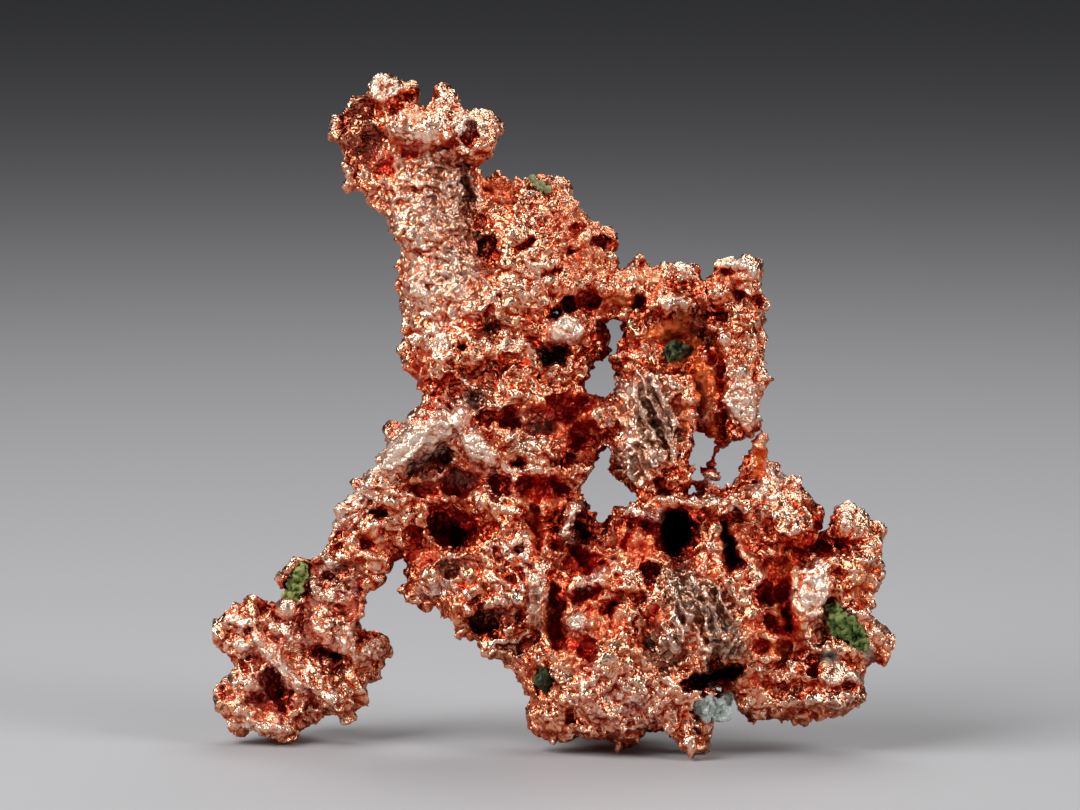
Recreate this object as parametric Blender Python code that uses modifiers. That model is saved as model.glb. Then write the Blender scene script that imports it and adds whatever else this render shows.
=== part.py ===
"""A native copper nugget: one branching, hackly mass of metal with grains of malachite and calcite seated in it.

The mass is laid out face on, in millimetres: across from its left edge, up from its foot, and deep from its
middle plane, away from the viewer. Rounded lumps, crusty rims, ridges and plates fuse into its limbs, holes and
hollows are cut into them, and the whole leans back a little and is set down on three flats.
"""

import math
import random

import bmesh
import bpy
from mathutils import Euler, Matrix, Vector
from mathutils.bvhtree import BVHTree

MM = 0.001
WIDTH = 67.7 * MM
LEAN = math.radians(7.0)
SEED = 29
BALL_NAME = "ball"

FUSE_VOXEL = 0.36 * MM
HACKLE_DEPTH = 0.9 * MM
HACKLE_SIZE = 2.6 * MM
FACE_BUDGET = 8200
FLOOR_HEIGHT = 0.6 * MM
WINDOW_REACH = 22
LUMP_SWELL = 1.06
RIM_INSET = 0.65
CRUST_PER_MM2 = 0.14
CRUST_RADIUS = (0.5, 1.0)
CRUST_SINK = 0.85
BACK_RIDGES = 50

GRAIN_VOXEL = 0.22 * MM
GRAIN_FACES = 150
GRAIN_SUNK = 0.35
GRAIN_GAP = 0.3 * MM

# Lumps: (across, up, deep, radius). A limb's squash is how deep its lumps are for their radius.
HEAD = (
    (16.6, 61.4, 0.8, 3.9),
    (14.8, 60.6, 0.4, 2.2),
    (17.4, 64.4, -0.6, 1.8),
    (20.0, 62.4, -2.2, 2.3),
    (22.6, 62.5, -2.8, 2.3),
    (23.2, 64.2, -1.6, 1.3),
    (25.2, 61.8, -3.0, 1.9),
    (27.0, 61.6, -2.8, 1.4),
    (26.2, 60.2, -2.8, 1.4),
)
NECK = (
    (17.6, 57.9, 0.6, 3.2),
    (21.4, 58.0, 1.0, 4.8),
    (23.6, 56.0, 1.0, 3.4),
    (21.4, 54.6, 1.0, 4.4),
    (22.6, 51.8, 1.0, 4.4),
    (23.4, 49.0, 0.8, 4.6),
    (23.4, 46.0, 0.8, 4.8),
    (23.8, 43.0, 0.6, 4.7),
    (24.8, 40.4, 0.2, 4.6),
    (24.0, 37.6, 0.4, 2.8),
)
SHOULDER = (
    (28.4, 54.6, 1.4, 3.2),
    (31.6, 53.8, 1.4, 3.8),
    (34.0, 55.2, 1.2, 1.9),
    (35.2, 51.4, 1.4, 3.1),
    (37.4, 50.4, 1.2, 2.4),
    (30.6, 49.6, 1.0, 5.0),
    (34.8, 46.8, 1.4, 4.2),
    (38.2, 47.0, 1.6, 3.0),
    (29.6, 44.6, 0.8, 5.0),
    (36.4, 42.6, 1.2, 2.2),
    (30.4, 39.8, 0.8, 4.6),
    (35.2, 38.6, 1.2, 2.6),
    (28.4, 36.0, 0.2, 4.8),
    (33.6, 34.6, 1.4, 4.2),
    (37.8, 33.2, 0.8, 2.6),
    (40.0, 33.6, 0.2, 1.6),
)
ARM = (
    (41.4, 46.0, 1.6, 2.2),
    (44.6, 46.0, 1.6, 2.6),
    (47.8, 45.6, 1.2, 2.5),
    (51.4, 46.2, 1.0, 2.8),
    (52.2, 42.6, 1.0, 2.6),
    (43.2, 43.0, 1.8, 2.9),
    (47.4, 43.0, 2.6, 3.2),
    (43.2, 39.6, 1.8, 2.8),
    (47.2, 39.4, 3.2, 2.9),
    (52.0, 38.8, 1.0, 2.7),
    (52.2, 35.4, 0.6, 2.2),
    (52.0, 33.0, 0.4, 1.9),
    (49.4, 36.4, 3.0, 1.9),
    (49.3, 33.4, 2.8, 1.5),
    (44.0, 36.4, 0.2, 3.0),
    (43.9, 33.4, -0.4, 3.0),
    (44.4, 30.4, -0.6, 2.6),
    (45.4, 28.0, -0.8, 2.0),
    (41.6, 30.6, -1.0, 1.7),
    (41.8, 28.6, -1.0, 1.4),
    (43.4, 26.6, -1.4, 1.3),
)
LEG = (
    (25.8, 35.4, 0.4, 3.6),
    (22.6, 32.6, 0.2, 3.6),
    (19.8, 30.0, 0.6, 2.6),
    (22.4, 28.0, 1.0, 3.8),
    (17.6, 26.6, 1.2, 2.8),
    (19.8, 23.8, 1.6, 2.8),
    (16.0, 23.4, 2.0, 2.6),
    (15.4, 20.6, 2.8, 2.8),
    (13.4, 18.2, 3.6, 2.5),
    (12.4, 15.6, 4.4, 2.6),
    (9.4, 16.8, 3.6, 1.9),
    (8.8, 14.8, 4.4, 1.6),
)
FOOT = (
    (11.4, 13.0, 5.0, 3.0),
    (4.0, 13.0, 5.0, 2.2),
    (3.0, 10.8, 5.0, 1.9),
    (6.4, 11.2, 5.2, 2.8),
    (13.6, 10.2, 5.6, 2.2),
    (15.6, 10.2, 5.6, 1.5),
    (14.4, 8.4, 5.6, 1.8),
    (12.2, 6.0, 5.4, 2.2),
    (9.0, 7.8, 5.6, 3.4),
    (5.0, 7.6, 5.2, 2.8),
    (3.0, 4.8, 5.0, 2.2),
    (6.0, 4.0, 5.2, 2.2),
    (8.4, 4.6, 5.4, 2.2),
    (7.2, 2.5, 5.2, 1.5),
)
HEART = (
    (27.0, 31.4, 0.2, 4.2),
    (31.6, 30.2, 1.4, 4.6),
    (34.8, 29.2, 1.6, 2.6),
    (36.0, 22.4, 3.2, 2.6),
    (39.4, 21.6, 2.4, 2.2),
    (25.2, 26.6, 1.2, 4.2),
    (30.0, 25.0, 0.8, 5.0),
    (33.8, 24.4, 1.4, 3.2),
    (25.4, 20.8, 1.6, 4.2),
    (22.0, 18.2, 1.2, 2.2),
    (25.4, 16.6, 0.8, 3.2),
    (26.4, 13.6, 1.0, 2.4),
)
BELLY = (
    (30.4, 18.4, 0.4, 5.6),
    (30.6, 14.0, 0.6, 4.4),
    (34.8, 9.2, -0.4, 4.6),
    (34.8, 5.0, -1.0, 3.4),
    (38.6, 15.6, -0.4, 6.0),
    (40.6, 8.8, -1.2, 6.0),
    (40.4, 4.6, -2.4, 3.0),
    (44.4, 18.8, 0.4, 5.0),
    (46.6, 13.4, -1.2, 6.0),
    (45.6, 6.6, -2.6, 4.2),
    (43.2, 24.4, -0.6, 1.7),
    (46.2, 24.8, -0.2, 1.7),
    (49.8, 20.8, 0.6, 5.0),
    (52.4, 16.2, -0.6, 5.4),
    (53.6, 24.2, 0.0, 3.4),
    (57.2, 24.0, -0.4, 2.6),
    (60.4, 20.6, 0.0, 1.5),
    (56.4, 20.6, 0.4, 3.2),
    (53.2, 11.0, 0.0, 5.0),
    (55.2, 6.6, 0.6, 3.0),
    (58.8, 6.6, 0.2, 2.8),
    (62.2, 6.6, -0.2, 2.2),
    (57.6, 10.8, 0.4, 4.0),
)
KNOB = (
    (63.2, 22.8, -1.2, 1.9),
    (64.6, 21.4, -1.2, 1.8),
    (64.4, 18.8, -1.2, 2.3),
    (61.8, 17.6, -1.2, 3.2),
    (59.0, 17.0, -0.6, 3.0),
    (60.6, 13.6, -1.2, 3.2),
    (63.6, 14.4, -1.2, 2.2),
    (63.6, 11.4, -1.0, 2.6),
    (61.8, 9.4, -0.4, 2.4),
)
BACK = (
    (41.0, 9.0, 6.0, 4.6),
    (38.2, 6.2, 9.4, 3.6),
    (37.2, 4.0, 11.2, 2.5),
    (46.0, 16.0, 5.0, 4.6),
    (33.0, 18.0, 5.0, 4.2),
    (27.6, 27.0, 5.0, 3.6),
    (29.6, 43.0, 4.6, 3.8),
    (22.6, 49.0, 3.8, 3.0),
    (17.4, 60.6, 4.0, 2.8),
    (7.4, 7.4, 8.8, 2.8),
    (55.0, 14.6, 4.6, 3.6),
)
LIMBS = {
    "head": (HEAD, 1.0),
    "neck": (NECK, 0.8),
    "shoulder": (SHOULDER, 0.95),
    "arm": (ARM, 1.0),
    "leg": (LEG, 1.0),
    "foot": (FOOT, 1.1),
    "heart": (HEART, 1.0),
    "belly": (BELLY, 1.05),
    "knob": (KNOB, 1.1),
    "back": (BACK, 1.0),
}

# Ridges: two ends, each (across, up, deep, radius).
RIDGES = (
    ((15.8, 64.9, -1.0, 0.9), (17.6, 66.7, -0.8, 1.1)),
    ((18.0, 66.2, -0.8, 0.7), (20.2, 65.8, -0.8, 0.6)),
    ((22.9, 63.6, -1.4, 1.1), (22.8, 65.9, -1.2, 0.7)),
    ((26.4, 60.0, -3.6, 0.9), (27.6, 62.4, -3.4, 0.9)),
    ((20.2, 62.0, -3.6, 0.9), (24.6, 62.6, -4.2, 0.9)),
    ((19.6, 40.6, -0.8, 0.9), (19.3, 39.0, -0.6, 0.8)),
    ((20.2, 38.6, -0.4, 0.8), (22.4, 36.2, 0.2, 1.0)),
    ((22.0, 38.4, -3.2, 1.2), (27.4, 40.2, -3.8, 1.2)),
    ((14.2, 24.2, 0.2, 0.9), (19.4, 31.0, -2.2, 1.1)),
    ((19.4, 31.0, -2.2, 1.1), (25.2, 34.2, -3.6, 1.2)),
    ((25.2, 34.4, -3.6, 1.1), (31.0, 35.8, -3.8, 1.0)),
    ((41.2, 46.6, 1.4, 0.9), (42.5, 49.4, 1.4, 0.5)),
    ((50.2, 48.7, -0.6, 0.9), (52.8, 48.2, -1.0, 1.2)),
    ((52.8, 48.2, -1.0, 1.2), (54.0, 45.6, -1.0, 0.9)),
    ((43.4, 44.6, -1.2, 1.0), (47.6, 45.0, -1.6, 1.0)),
    ((50.8, 41.6, -1.8, 0.8), (51.8, 36.0, -1.8, 0.9)),
    ((42.0, 38.2, -2.2, 0.9), (47.0, 37.4, -2.2, 0.9)),
    ((47.0, 37.4, -2.2, 0.9), (48.0, 31.0, -2.6, 0.7)),
    ((44.0, 37.0, -3.0, 0.6), (47.0, 29.4, -3.2, 0.6)),
    ((42.2, 36.0, -2.8, 0.6), (44.8, 28.4, -3.4, 0.6)),
    ((50.0, 32.6, 1.8, 0.9), (50.2, 30.6, 1.0, 0.6)),
    ((50.2, 30.6, 1.0, 0.6), (49.9, 28.2, -0.4, 0.5)),
    ((42.8, 25.2, -4.2, 0.9), (47.6, 25.4, -5.0, 1.0)),
    ((47.6, 25.4, -5.0, 1.0), (52.6, 24.6, -4.8, 1.2)),
    ((48.9, 26.2, -1.4, 1.0), (49.4, 27.6, -1.0, 0.8)),
    ((51.6, 25.6, -1.4, 1.4), (53.4, 28.2, -1.0, 1.1)),
    ((53.4, 28.2, -0.8, 1.2), (54.9, 31.4, -0.6, 0.6)),
    ((47.2, 18.6, -5.4, 0.9), (50.6, 11.6, -6.0, 1.1)),
    ((50.4, 18.2, -5.0, 0.9), (53.2, 11.4, -5.4, 0.9)),
    ((43.8, 17.4, -5.6, 0.8), (46.4, 11.0, -6.6, 0.9)),
    ((36.4, 25.8, -2.8, 0.5), (34.6, 21.6, -3.8, 0.7)),
    ((32.4, 17.8, -4.6, 0.9), (33.6, 12.4, -4.4, 0.8)),
    ((35.6, 17.6, -5.4, 0.9), (42.0, 16.6, -6.2, 0.9)),
    ((36.0, 13.2, -5.8, 0.9), (40.4, 10.4, -6.6, 1.0)),
    ((32.0, 6.8, -3.2, 0.9), (38.0, 3.0, -4.4, 1.0)),
    ((45.4, 3.4, -5.2, 1.2), (48.7, 0.8, -5.2, 0.8)),
    ((49.2, 5.6, -3.4, 0.7), (50.6, 4.2, -2.4, 0.7)),
    ((58.0, 18.6, -3.8, 0.8), (58.6, 13.2, -4.4, 0.9)),
    ((62.4, 16.8, -4.4, 0.9), (64.8, 20.0, -3.4, 0.9)),
    ((59.6, 11.2, -4.2, 0.8), (65.0, 10.6, -3.2, 1.0)),
    ((53.4, 5.2, -2.6, 1.1), (64.0, 5.4, -2.4, 1.1)),
    ((55.0, 8.4, -3.6, 0.9), (63.8, 7.6, -3.0, 0.9)),
    ((4.2, 11.6, 1.9, 0.8), (8.8, 6.2, 1.6, 0.8)),
    ((2.2, 5.4, 2.8, 0.9), (6.2, 2.6, 2.6, 0.9)),
    ((9.6, 13.2, 1.8, 0.9), (15.2, 9.6, 3.2, 0.9)),
    ((9.8, 6.2, 2.2, 0.9), (13.2, 5.0, 3.2, 0.9)),
    ((21.0, 18.0, -1.2, 0.9), (25.8, 21.0, -3.0, 0.9)),
    ((26.6, 20.0, -3.4, 0.8), (29.8, 24.0, -4.6, 0.8)),
    ((24.4, 15.0, -2.2, 0.8), (29.4, 13.0, -4.0, 0.9)),
)

# Plates: centre (across, up, deep), half sizes (across, up, deep) and the turn of its top to the right, in degrees.
PLATES = (
    ((21.6, 53.4, -1.9), (4.0, 6.6, 1.3), -12),
    ((23.4, 46.0, -2.2), (4.2, 5.6, 1.4), -8),
    ((35.0, 42.3, -3.0), (1.7, 1.4, 1.2), -10),
    ((26.3, 30.6, -3.4), (1.3, 2.4, 0.9), -35),
    ((44.2, 34.2, -2.0), (2.8, 4.8, 1.2), -14),
    ((45.6, 29.6, -2.4), (2.6, 3.6, 1.1), -22),
    ((52.2, 35.4, -1.4), (1.7, 3.6, 1.0), 0),
    ((56.8, 23.6, -3.0), (3.2, 3.0, 1.2), 20),
    ((60.6, 15.6, -3.9), (1.6, 2.7, 1.1), 8),
    ((38.6, 6.0, -5.4), (4.2, 2.6, 1.6), 0),
    ((48.2, 14.6, -5.8), (1.1, 3.4, 0.8), -18),
)

# Holes that open right through, each by its outline (across, up).
WINDOW_OVAL = ((33.3, 44.5), (34.4, 44.6), (34.9, 44.4), (34.7, 43.7), (34.1, 43.5), (33.2, 43.7))
WINDOW_UPPER = (
    (39.6, 43.5), (40.5, 43.1), (40.6, 42.3), (40.0, 41.8), (40.4, 40.5), (39.5, 40.0), (39.2, 39.6), (38.8, 40.5),
    (39.0, 41.8), (38.9, 42.8),
)
WINDOW_MIDDLE = (
    (38.2, 39.0), (39.6, 39.2), (40.0, 38.2), (40.3, 37.2), (40.2, 36.3), (39.5, 35.8), (38.4, 36.2), (37.8, 36.3),
    (36.9, 35.6), (36.8, 36.4), (37.2, 37.5), (37.7, 38.4),
)
WINDOW_LOWER = (
    (38.6, 30.7), (39.7, 30.6), (39.7, 29.3), (39.6, 28.3), (40.5, 27.2), (41.8, 26.7), (42.4, 26.4), (42.5, 25.5),
    (41.0, 24.6), (39.9, 24.2), (39.1, 23.8), (38.8, 23.2), (38.2, 22.7), (37.6, 23.2), (37.2, 23.8), (37.1, 25.0),
    (37.3, 26.0), (37.6, 27.3), (38.1, 27.9), (37.9, 28.8), (38.3, 29.6),
)
WINDOW_STRAND = (
    (46.9, 30.1), (47.5, 31.1), (48.1, 31.5), (48.9, 31.0), (49.4, 30.1), (49.3, 29.1), (49.4, 28.0), (48.9, 27.3),
    (48.1, 27.2), (47.5, 27.7), (47.0, 28.8),
)
NOTCH_HEAD = (
    (20.8, 67.5), (20.7, 66.0), (20.4, 65.2), (19.2, 65.0), (20.0, 64.7), (21.1, 64.7), (21.8, 65.3), (21.9, 66.6),
    (22.0, 67.5),
)
NOTCH_SHOULDER = (
    (41.9, 50.5), (41.6, 49.2), (40.9, 48.2), (40.1, 48.2), (39.9, 49.1), (39.8, 50.0), (40.5, 50.3), (41.0, 51.5),
)
NOTCH_ARM = ((48.6, 49.5), (48.7, 47.6), (49.2, 46.9), (49.6, 47.0), (50.0, 47.8), (49.5, 48.8), (49.4, 49.6))
NOTCH_KNOB_TOP = (
    (61.5, 26.0), (61.6, 24.6), (61.7, 22.6), (61.4, 22.3), (59.8, 22.1), (58.7, 21.7), (59.5, 23.0), (60.4, 23.9),
    (60.1, 25.2), (59.8, 26.0),
)
NOTCH_KNOB_SIDE = ((66.8, 16.6), (65.7, 16.4), (65.6, 13.9), (66.6, 13.2), (67.6, 13.0), (67.6, 16.6))
NOTCH_SPIKE = (
    (50.7, 30.6), (51.5, 30.7), (52.6, 31.5), (54.2, 33.0), (54.3, 32.2), (53.6, 30.9), (53.0, 29.8), (52.4, 29.2),
    (51.6, 28.8), (51.0, 27.8), (50.3, 28.2), (50.4, 29.1), (50.6, 30.0),
)
NOTCHES = (NOTCH_HEAD, NOTCH_SHOULDER, NOTCH_ARM, NOTCH_KNOB_TOP, NOTCH_KNOB_SIDE, NOTCH_SPIKE)
WINDOW_FOOT = ((11.5, 10.3), (12.1, 10.5), (12.5, 10.0), (12.3, 9.3), (11.7, 9.2), (11.4, 9.7))
# Windows with the depth and bead size of the crust around each.
WINDOWS = (
    (WINDOW_OVAL, 1.0, 0.6),
    (WINDOW_UPPER, 1.2, 0.7),
    (WINDOW_MIDDLE, 1.0, 0.8),
    (WINDOW_LOWER, 0.6, 0.8),
    (WINDOW_STRAND, 0.4, 0.5),
    (WINDOW_FOOT, 5.0, 0.6),
)

# Hollows: mouth centre (across, up, deep), half sizes (across, up, deep) and the turn of its top to the right.
HOLLOWS = (
    ((15.6, 60.2, -3.2), (2.2, 3.2, 1.6), -15),
    ((26.0, 55.2, -3.0), (0.6, 4.0, 1.8), -4),
    ((27.5, 48.9, -3.8), (1.0, 1.6, 2.2), 0),
    ((34.1, 39.9, -3.6), (1.5, 1.1, 3.6), 0),
    ((46.0, 42.1, -1.6), (2.3, 1.2, 2.2), 10),
    ((49.6, 38.6, -1.0), (1.1, 4.0, 2.6), -12),
    ((49.8, 33.6, 0.2), (1.1, 3.4, 1.8), 4),
    ((34.5, 33.4, -3.8), (3.0, 1.7, 3.0), -20),
    ((35.2, 26.8, -2.2), (2.0, 1.2, 1.8), 0),
    ((23.5, 29.8, -3.4), (2.2, 1.4, 2.2), 30),
    ((25.2, 25.2, -3.6), (1.6, 1.4, 2.6), 0),
    ((24.0, 22.2, -3.2), (2.5, 1.6, 4.4), 10),
    ((18.6, 25.6, -2.2), (1.4, 1.0, 1.8), 40),
    ((46.0, 22.0, -5.2), (2.1, 2.3, 7.0), 0),
    ((51.4, 20.4, -5.2), (0.9, 2.1, 5.0), -15),
    ((36.6, 19.6, -4.6), (3.2, 1.2, 2.4), 55),
    ((34.2, 14.0, -5.2), (0.7, 3.2, 2.6), 4),
    ((40.2, 15.0, -7.4), (2.2, 1.1, 2.2), -25),
    ((55.6, 15.6, -6.0), (1.7, 3.2, 2.8), 10),
    ((50.4, 7.6, -5.2), (3.2, 1.0, 4.2), 72),
    ((27.4, 13.2, -3.6), (1.8, 1.4, 1.8), 0),
    ((29.2, 20.0, -5.2), (1.4, 1.6, 1.6), 20),
    ((6.2, 6.6, 1.6), (1.2, 2.4, 2.6), -25),
    ((12.2, 20.8, 0.2), (0.8, 1.1, 1.2), 30),
)


# Rims: the mass's outline, face on, clockwise from the head: (across, up).
HEAD_RIM = (
    (13.2, 56.4), (12.9, 57.0), (12.8, 59.2), (12.7, 60.2), (11.8, 61.1), (11.6, 61.6), (12.2, 63.7),
    (13.4, 64.5), (13.9, 65.7), (15.2, 65.9), (16.1, 67.4), (17.1, 67.9), (18.3, 67.3), (18.7, 66.7),
    (20.6, 66.5), (20.6, 66.1), (20.4, 65.2), (19.0, 65.0), (19.9, 64.6), (21.1, 64.6), (21.8, 65.3),
    (22.0, 66.5), (23.6, 66.5), (24.3, 65.5), (24.8, 63.9), (26.4, 63.9), (27.5, 63.7), (28.5, 63.0),
    (28.7, 61.6), (27.8, 61.1), (27.7, 59.5), (26.3, 58.9), (25.5, 59.2), (26.4, 57.8), (26.6, 57.1),
)
SHOULDER_RIM = (
    (26.6, 57.1), (27.9, 57.7), (30.2, 57.1), (31.4, 57.3), (32.0, 58.1), (32.5, 57.8), (34.0, 57.7),
    (34.7, 57.2), (35.3, 57.3), (35.9, 56.7), (35.9, 55.2), (36.8, 54.6), (36.9, 53.8), (37.5, 53.1),
    (38.5, 52.3), (39.9, 52.3), (40.6, 51.6), (40.4, 50.3), (39.6, 50.1), (39.8, 49.2), (40.0, 48.1),
    (40.9, 48.1), (41.8, 48.9), (42.2, 49.8), (42.5, 49.9), (42.8, 49.3), (43.1, 48.5), (43.3, 47.8),
)
ARM_RIM = (
    (43.3, 47.8), (44.9, 48.3), (45.3, 49.0), (46.0, 48.9), (46.5, 48.5), (47.4, 48.8), (48.2, 48.5),
    (48.5, 47.4), (49.1, 46.8), (49.6, 46.9), (50.0, 47.8), (49.6, 48.7), (50.1, 49.8), (51.3, 49.8),
    (52.8, 49.2), (54.1, 48.1), (54.5, 47.2), (54.5, 46.2), (55.2, 45.1), (54.7, 44.1), (53.9, 43.9),
    (54.6, 42.9), (54.6, 41.8), (55.4, 41.5), (54.9, 39.9), (54.6, 39.3), (54.8, 37.7), (54.5, 36.5),
    (54.6, 36.1), (54.2, 35.3), (54.2, 33.7), (54.4, 32.7), (53.3, 31.8), (52.3, 30.9), (51.1, 31.2),
    (50.8, 30.7), (50.2, 30.7),
)
SPIKE_RIM = (
    (51.1, 27.9), (52.0, 29.0), (52.8, 29.9), (53.4, 31.1), (54.3, 32.1), (55.5, 31.9), (55.4, 30.7),
    (55.3, 28.8), (56.2, 28.4), (57.5, 27.7), (58.7, 27.5), (58.9, 26.0), (60.1, 25.2), (60.5, 23.9),
    (59.4, 23.0), (58.5, 21.5), (59.8, 22.1), (61.6, 22.3),
)
KNOB_RIM = (
    (61.6, 22.3), (61.8, 24.5), (62.9, 25.3), (64.2, 25.1), (65.9, 23.4), (66.8, 22.1), (66.1, 21.3),
    (65.9, 20.4), (66.8, 18.4), (66.7, 17.4), (65.5, 16.7), (65.5, 14.5), (65.5, 13.8), (67.4, 12.6),
    (67.7, 10.8), (66.6, 8.9), (64.8, 9.3), (64.7, 6.9), (65.2, 5.4), (62.9, 4.3), (61.2, 4.1),
    (59.8, 3.3), (57.7, 3.5), (56.4, 3.7), (53.3, 3.4), (52.9, 4.3), (51.6, 5.6),
)
BASE_RIM = (
    (51.6, 5.6), (49.7, 3.7), (49.4, 2.6), (49.2, 0.9), (48.6, 0.0), (46.4, 0.9), (44.7, 2.0),
    (43.6, 2.2), (42.5, 2.2), (41.0, 0.9), (39.9, 1.5), (37.2, 1.7), (35.1, 1.8), (32.8, 2.2),
    (31.5, 3.0), (31.1, 4.9), (31.5, 5.7), (31.1, 7.2), (30.3, 8.2), (29.4, 9.1), (27.6, 9.7),
    (26.9, 10.2), (26.5, 10.5), (25.0, 12.4), (23.1, 14.4),
)
ARCH_RIM = (
    (23.1, 14.4), (20.5, 14.8), (20.2, 15.3), (18.6, 15.8), (17.7, 16.7), (18.7, 17.3), (18.7, 18.4),
    (19.5, 19.7), (19.1, 20.3), (18.4, 20.0), (17.6, 18.8), (16.6, 18.6), (16.7, 17.3), (15.5, 16.7),
    (14.9, 15.5), (14.9, 14.1), (14.8, 13.5), (13.8, 13.3), (14.3, 11.7),
)
FOOT_RIM = (
    (14.3, 11.7), (15.3, 11.7), (16.7, 11.8), (17.4, 10.5), (17.4, 9.3), (16.6, 8.2), (16.2, 7.0),
    (15.1, 6.7), (14.1, 5.3), (13.9, 4.1), (13.2, 3.3), (12.0, 3.9), (11.0, 4.1), (10.1, 3.3),
    (8.6, 2.7), (8.0, 2.0), (7.3, 1.2), (6.5, 1.8), (4.5, 1.8), (3.1, 1.9), (2.0, 1.9), (1.0, 2.7),
    (1.7, 3.6), (0.7, 3.7), (0.0, 5.0), (0.0, 6.8), (1.4, 7.4), (1.9, 8.4), (1.9, 9.5), (1.2, 9.9),
    (1.2, 11.3), (0.4, 12.4), (0.6, 13.1), (1.9, 14.5), (3.0, 15.0), (3.4, 16.2), (4.1, 16.2),
    (4.5, 15.2), (5.8, 14.7), (6.6, 14.6),
)
LEG_RIM = (
    (6.6, 14.6), (7.2, 15.5), (6.4, 17.2), (6.9, 18.6), (8.2, 19.2), (9.4, 19.3), (10.4, 19.6),
    (10.8, 20.7), (11.4, 21.8), (12.5, 23.6), (12.8, 24.9), (14.4, 25.6), (15.1, 27.0), (16.0, 28.5),
    (16.2, 29.8), (17.7, 31.1), (18.1, 32.0), (19.1, 32.2), (19.4, 33.2), (20.5, 34.3), (21.2, 35.1),
    (21.5, 35.5),
)
NECK_RIM = (
    (21.5, 35.5), (21.3, 36.4), (20.3, 37.3), (19.1, 38.5), (18.7, 40.3), (19.0, 40.8), (19.8, 41.2),
    (20.0, 41.8), (19.1, 42.8), (19.0, 44.0), (18.6, 45.3), (18.4, 46.8), (18.3, 49.1), (18.6, 50.0),
    (18.6, 50.8), (17.9, 52.0), (17.0, 52.9), (16.3, 54.0), (15.7, 55.1), (14.8, 56.1), (13.2, 56.4),
)
RIMS = (
    (HEAD_RIM, -0.6, 0.75),
    (SHOULDER_RIM, 1.2, 0.75),
    (ARM_RIM, 0.8, 0.75),
    (SPIKE_RIM, -0.8, 0.7),
    (KNOB_RIM, -1.0, 0.8),
    (BASE_RIM, -1.6, 0.8),
    (ARCH_RIM, 1.6, 0.7),
    (FOOT_RIM, 4.8, 0.75),
    (LEG_RIM, 2.0, 0.7),
    (NECK_RIM, 0.4, 0.8),
)


# Mineral grains seated in the metal: lumps (across, up, radius) on the face towards the viewer.
GRAINS = {
    "malachite_right": (
        (61.4, 14.8, 0.7),
        (61.8, 13.8, 0.9),
        (62.5, 12.8, 1.1),
        (63.5, 12.2, 1.1),
        (64.3, 11.4, 0.8),
    ),
    "malachite_leg": (
        (8.8, 18.4, 0.7),
        (8.5, 17.5, 0.8),
        (8.0, 16.5, 0.8),
        (7.5, 15.6, 0.6),
    ),
    "malachite_top": (
        (31.8, 57.0, 0.45),
        (32.4, 56.7, 0.55),
        (33.0, 56.4, 0.45),
    ),
    "malachite_front": (
        (32.8, 8.6, 0.4),
        (32.8, 7.9, 0.55),
        (32.9, 7.2, 0.5),
        (33.0, 6.6, 0.35),
    ),
    "malachite_pocket": (
        (45.7, 40.3, 0.5),
        (46.4, 40.2, 0.65),
        (47.1, 40.4, 0.5),
    ),
    "calcite_grain": (
        (48.7, 4.8, 1.0),
        (49.8, 4.7, 1.0),
        (50.8, 5.2, 0.8),
        (51.4, 5.8, 0.5),
    ),
}
COPPER = ("native_copper", (0.80, 0.36, 0.22, 1.0), 0.32, 1.0)
MALACHITE = ("malachite", (0.05, 0.20, 0.07, 1.0), 0.55, 0.0)
CALCITE = ("calcite", (0.75, 0.80, 0.76, 1.0), 0.25, 0.0)


def clear_scene():
    for thing in list(bpy.data.objects):
        bpy.data.objects.remove(thing, do_unlink=True)


def new_collection(name):
    made = bpy.data.collections.new(name)
    bpy.context.scene.collection.children.link(made)
    return made


def new_object(name, bm, collection):
    mesh = bpy.data.meshes.new(name)
    bm.to_mesh(mesh)
    bm.free()
    made = bpy.data.objects.new(name, mesh)
    collection.objects.link(made)
    return made


def layout_to_world():
    """The layout's frame, leaned back about its foot, with the middle of its width on the origin."""
    lean = Matrix.Rotation(-LEAN, 4, "X")
    return lean @ Matrix.Translation((-WIDTH / 2, 0, 0)) @ Matrix.Scale(MM, 4)


def placed(across, up, deep, turn=0.0):
    spin = Matrix.Rotation(math.radians(turn), 4, "Y")
    return layout_to_world() @ Matrix.Translation((across, deep, up)) @ spin


def any_turn(dice):
    return Euler([dice.uniform(0, math.tau) for _ in range(3)]).to_matrix().to_4x4()


def ball_mesh():
    """The faceted ball of unit radius that every lump is a copy of."""
    bm = bmesh.new()
    bmesh.ops.create_icosphere(bm, subdivisions=2, radius=1)
    mesh = bpy.data.meshes.new(BALL_NAME)
    bm.to_mesh(mesh)
    bm.free()


def add_ball(bm, matrix):
    ball = bpy.data.meshes[BALL_NAME].copy()
    ball.transform(matrix)
    bm.from_mesh(ball, face_normals=False, vertex_normals=False)
    bpy.data.meshes.remove(ball)


def add_lump(bm, dice, across, up, deep, radius, squash=1.0):
    """One faceted lump, turned at random so that no two show the same facets."""
    size = radius * LUMP_SWELL
    squeeze = Matrix.Diagonal((size, size * squash, size, 1))
    add_ball(bm, placed(across, up, deep) @ squeeze @ any_turn(dice))


def add_ridge(bm, dice, start, end):
    """Lumps in an uneven row from one end to the other."""
    start, end = Vector(start), Vector(end)
    span = (end - start).to_3d().length
    count = max(2, round(span / (0.7 * min(start[3], end[3]))) + 1)
    for step in range(count):
        across, up, deep, radius = start.lerp(end, step / (count - 1))
        stray = 0.35 * radius
        radius *= dice.uniform(0.75, 1.15)
        across += dice.uniform(-stray, stray)
        up += dice.uniform(-stray, stray)
        add_lump(bm, dice, across, up, deep + dice.uniform(-stray, stray), radius)


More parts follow.
